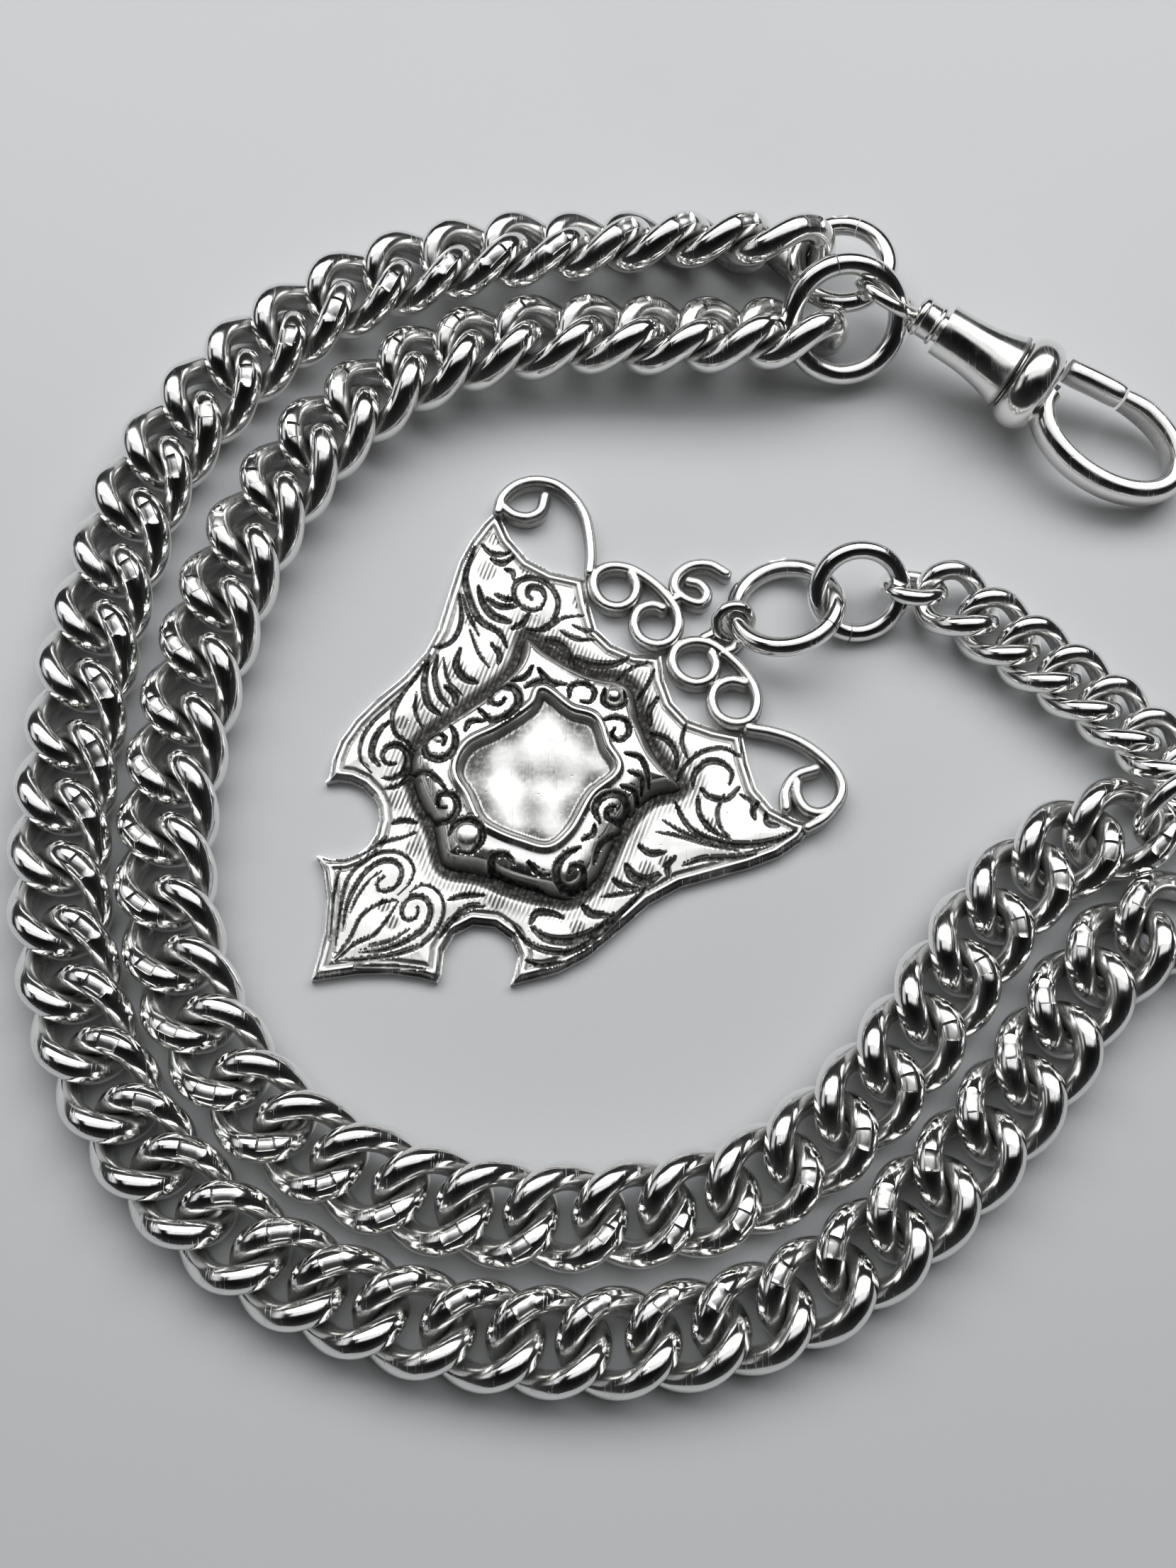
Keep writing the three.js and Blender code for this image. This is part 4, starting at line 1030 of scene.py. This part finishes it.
SCROLLS = {
    "left_wing_scroll": [
        [
            (35.6, 17.45), (36.6, 18.05), (38, 18.1), (39.4, 17.4), (40.4, 16), (40.6, 14.2), (40.2, 12.5),
            (39.2, 10.9), (38.1, 9.6), (37.2, 8.8),
        ],
        [(36.1, 17.6), (36.3, 16.3), (37, 15.4), (38, 15.15), (39.1, 15.8)],
    ],
    "left_centre_scroll": [[
        (39.4, 6.4), (38.9, 5.3), (37.9, 4.8), (36.8, 5.1), (36.15, 6.2), (36.4, 7.5), (37.3, 8.3),
        (38.5, 8.1), (39.5, 7), (40, 5.3), (40.1, 3.5), (39.8, 1.9), (39, 0.8), (37.8, 0.35), (36.7, 0.85),
        (36.15, 2.1), (36.6, 3.3), (37.7, 3.85), (38.8, 3.4), (39.1, 2.7),
    ]],
    "right_centre_scroll": [[
        (39.2, -2.6), (38.8, -3.5), (37.8, -3.95), (36.7, -3.5), (36.15, -2.3), (36.5, -1), (37.6, -0.4),
        (38.8, -0.8), (39.7, -1.9), (40, -3.5), (40, -5.2), (39.6, -6.8), (38.8, -7.9), (37.6, -8.4),
        (36.5, -7.8), (36, -6.5), (36.5, -5.3), (37.6, -4.75), (38.8, -5.2), (39.3, -6),
    ]],
    "right_wing_scroll": [
        [
            (37, -8.8), (38, -10.2), (38.9, -12), (39.3, -14), (39.2, -16), (38.5, -17.2), (37.2, -17.65),
            (36, -17.2), (35.5, -16.2), (35.8, -15.1), (36.5, -14.4),
        ],
        [(34.5, -15.2), (35.4, -14.3), (36.8, -13.95), (38.3, -14.6)],
        [(34.6, -17.4), (36, -17.75), (37.2, -17.65)],
    ],
    "finial_scroll": [
        [
            (44.7, 1.3), (44.3, 2.7), (43.2, 3.65), (41.8, 3.8), (40.9, 3.1), (41, 1.8), (41.6, 0.9),
            (42.4, 1.1), (42.6, 2.1), (42.2, 2.8),
        ],
        [(40.2, 2.6), (40.9, 2.4)],
    ],
    "fob_loop": [
        [(39.9, -3.2), (40.9, -3.5), (42, -3.1), (42.6, -2.4)],
        [(39.7, -1.3), (40.6, -1.5), (41.2, -1.2)],
    ],
}
SCROLL_HALF_WIDTH = 0.45
SCROLL_TOP = 1.6


def wire_top(points, depth):
    """The top of a scroll's wire: rounded, with painted shade at its sides."""
    across = np.clip(1 - depth / SCROLL_HALF_WIDTH, 0, 1)
    z = SCROLL_TOP - 0.35 * across ** 3
    # Painted shade on the wire's sides.
    return z, 0.05 + 0.8 * smooth((across - 0.72) / 0.28), np.zeros(len(points))


for name, lines in SCROLLS.items():
    curves = [catmull(line, 60) for line in lines]
    every = np.vstack(curves)
    box = (*(every.min(0) - 1), *(every.max(0) + 1))
    relief(f"{name}_wire", strokes_field(curves, SCROLL_HALF_WIDTH), wire_top, 0.05, box, name)

points, faces, tarnish = ring_points((11.22, 12.44, 1.8), 44.4, -77, 1.38, 0.42)
piece("fob_loop_ring", points, faces, CLIP_SILVER, "fob", ["fob_loop"], "worn_silver", tarnish=tarnish)

# ---- floor, light and camera ----
LOOK_AT = put([(0, 0, 0)])[0]
floor_z = float(CAD_BOX[0][2])
floor = bpy.data.meshes.new("floor")
floor.from_pydata([(x, y, floor_z) for x, y in ((-2, -2), (2, -2), (2, 2), (-2, 2))], [], [(0, 1, 2, 3)])
board = Nodes("pale_board")
where = board.add("TexCoord").outputs["Object"]
blot = board.add("TexNoise", Vector=where, Scale=28.0, Detail=4.0).outputs[0]
grain = board.add("TexNoise", Vector=where, Scale=2400.0, Detail=3.0).outputs[0]
# Painted light: the floor is paler away from the camera and darker nearer it, standing in for the light's
# falloff.
painted_light_falloff = board.ramp(board.add("SeparateXYZ", Vector=where).outputs["Y"], -0.07, 0.09)
painted_light_tone = board.mix(painted_light_falloff, (0.57, 0.575, 0.585, 1), (0.77, 0.775, 0.785, 1))
blotted = board.math("MULTIPLY", board.ramp(blot, 0.4, 0.75), 0.12)
board.join(board.mix(blotted, painted_light_tone, (0.55, 0.55, 0.56, 1)), board.shader.inputs["Base Color"])
board.shader.inputs["Roughness"].default_value = 0.5
board_bump = board.add("Bump", Strength=0.1, Distance=0.0001, Height=grain)
board.join(board_bump.outputs[0], board.shader.inputs["Normal"])
floor.materials.append(board.material)
floor_object = bpy.data.objects.new("floor", floor)
SCENE.collection.objects.link(floor_object)

room = Nodes("room", world=True)
SCENE.world = room.material
ray = room.add("TexCoord").outputs["Generated"]


def toward(direction):
    """How far the ray goes along a direction."""
    node = room.add("VectorMath", {"operation": "DOT_PRODUCT"})
    room.join(ray, node.inputs[0])
    room.join(tuple(float(v) for v in direction), node.inputs[1])
    return node.outputs["Value"]


def window(heading, height, half_width, half_height, level, soft=0.1):
    """A soft-edged bright rectangle in the room, heading and height in degrees, sizes as tangents."""
    h, e = math.radians(heading), math.radians(height)
    ahead = toward((math.sin(h) * math.cos(e), math.cos(h) * math.cos(e), math.sin(e)))
    right = toward((math.cos(h), -math.sin(h), 0))
    up = toward((-math.sin(h) * math.sin(e), -math.cos(h) * math.sin(e), math.cos(e)))
    safe = room.math("MAXIMUM", ahead, 0.02)
    across = room.math("ABSOLUTE", room.math("DIVIDE", right, safe))
    upward = room.math("ABSOLUTE", room.math("DIVIDE", up, safe))
    mask = room.math("MULTIPLY", room.ramp(across, half_width - soft, half_width + soft, level, 0.0),
                     room.ramp(upward, half_height - soft, half_height + soft, 1.0, 0.0))
    return room.math("MULTIPLY", mask, room.ramp(ahead, 0.02, 0.1))


level = room.ramp(toward((0, 0, 1)), -0.1, 0.9, 0.03, 0.004)
# Heading, height, half width, half height and level of each window.
PANES = (
    (4, 54, 0.95, 0.3, 3.3),
    (0, 84, 0.6, 0.2, 0.9),
    (-76, 30, 0.36, 0.16, 0.7),
    (72, 52, 0.2, 0.16, 0.5),
)
for pane in PANES:
    level = room.math("ADD", level, window(*pane))
room.join(level, room.shader.inputs["Strength"])
room.shader.inputs["Color"].default_value = (0.98, 0.99, 1.0, 1)

CAMERA_RISE = math.radians(74)
CAMERA_REACH = 0.160
SENSOR_WIDTH = 36
PICTURE_WIDTH = 1659
FOCAL_LENGTH = 2960  # in the picture's pixels
camera_data = bpy.data.cameras.new("camera")
camera_data.sensor_fit = "HORIZONTAL"
camera_data.sensor_width = SENSOR_WIDTH
camera_data.lens = SENSOR_WIDTH * FOCAL_LENGTH / PICTURE_WIDTH
camera_data.clip_start = 0.005
camera = bpy.data.objects.new("camera", camera_data)
camera.location = Vector(LOOK_AT) + CAMERA_REACH * Vector((0, -math.cos(CAMERA_RISE), math.sin(CAMERA_RISE)))
camera.rotation_euler = (math.pi / 2 - CAMERA_RISE, 0, 0)
SCENE.collection.objects.link(camera)
SCENE.camera = camera
SCENE.view_settings.view_transform = "Standard"
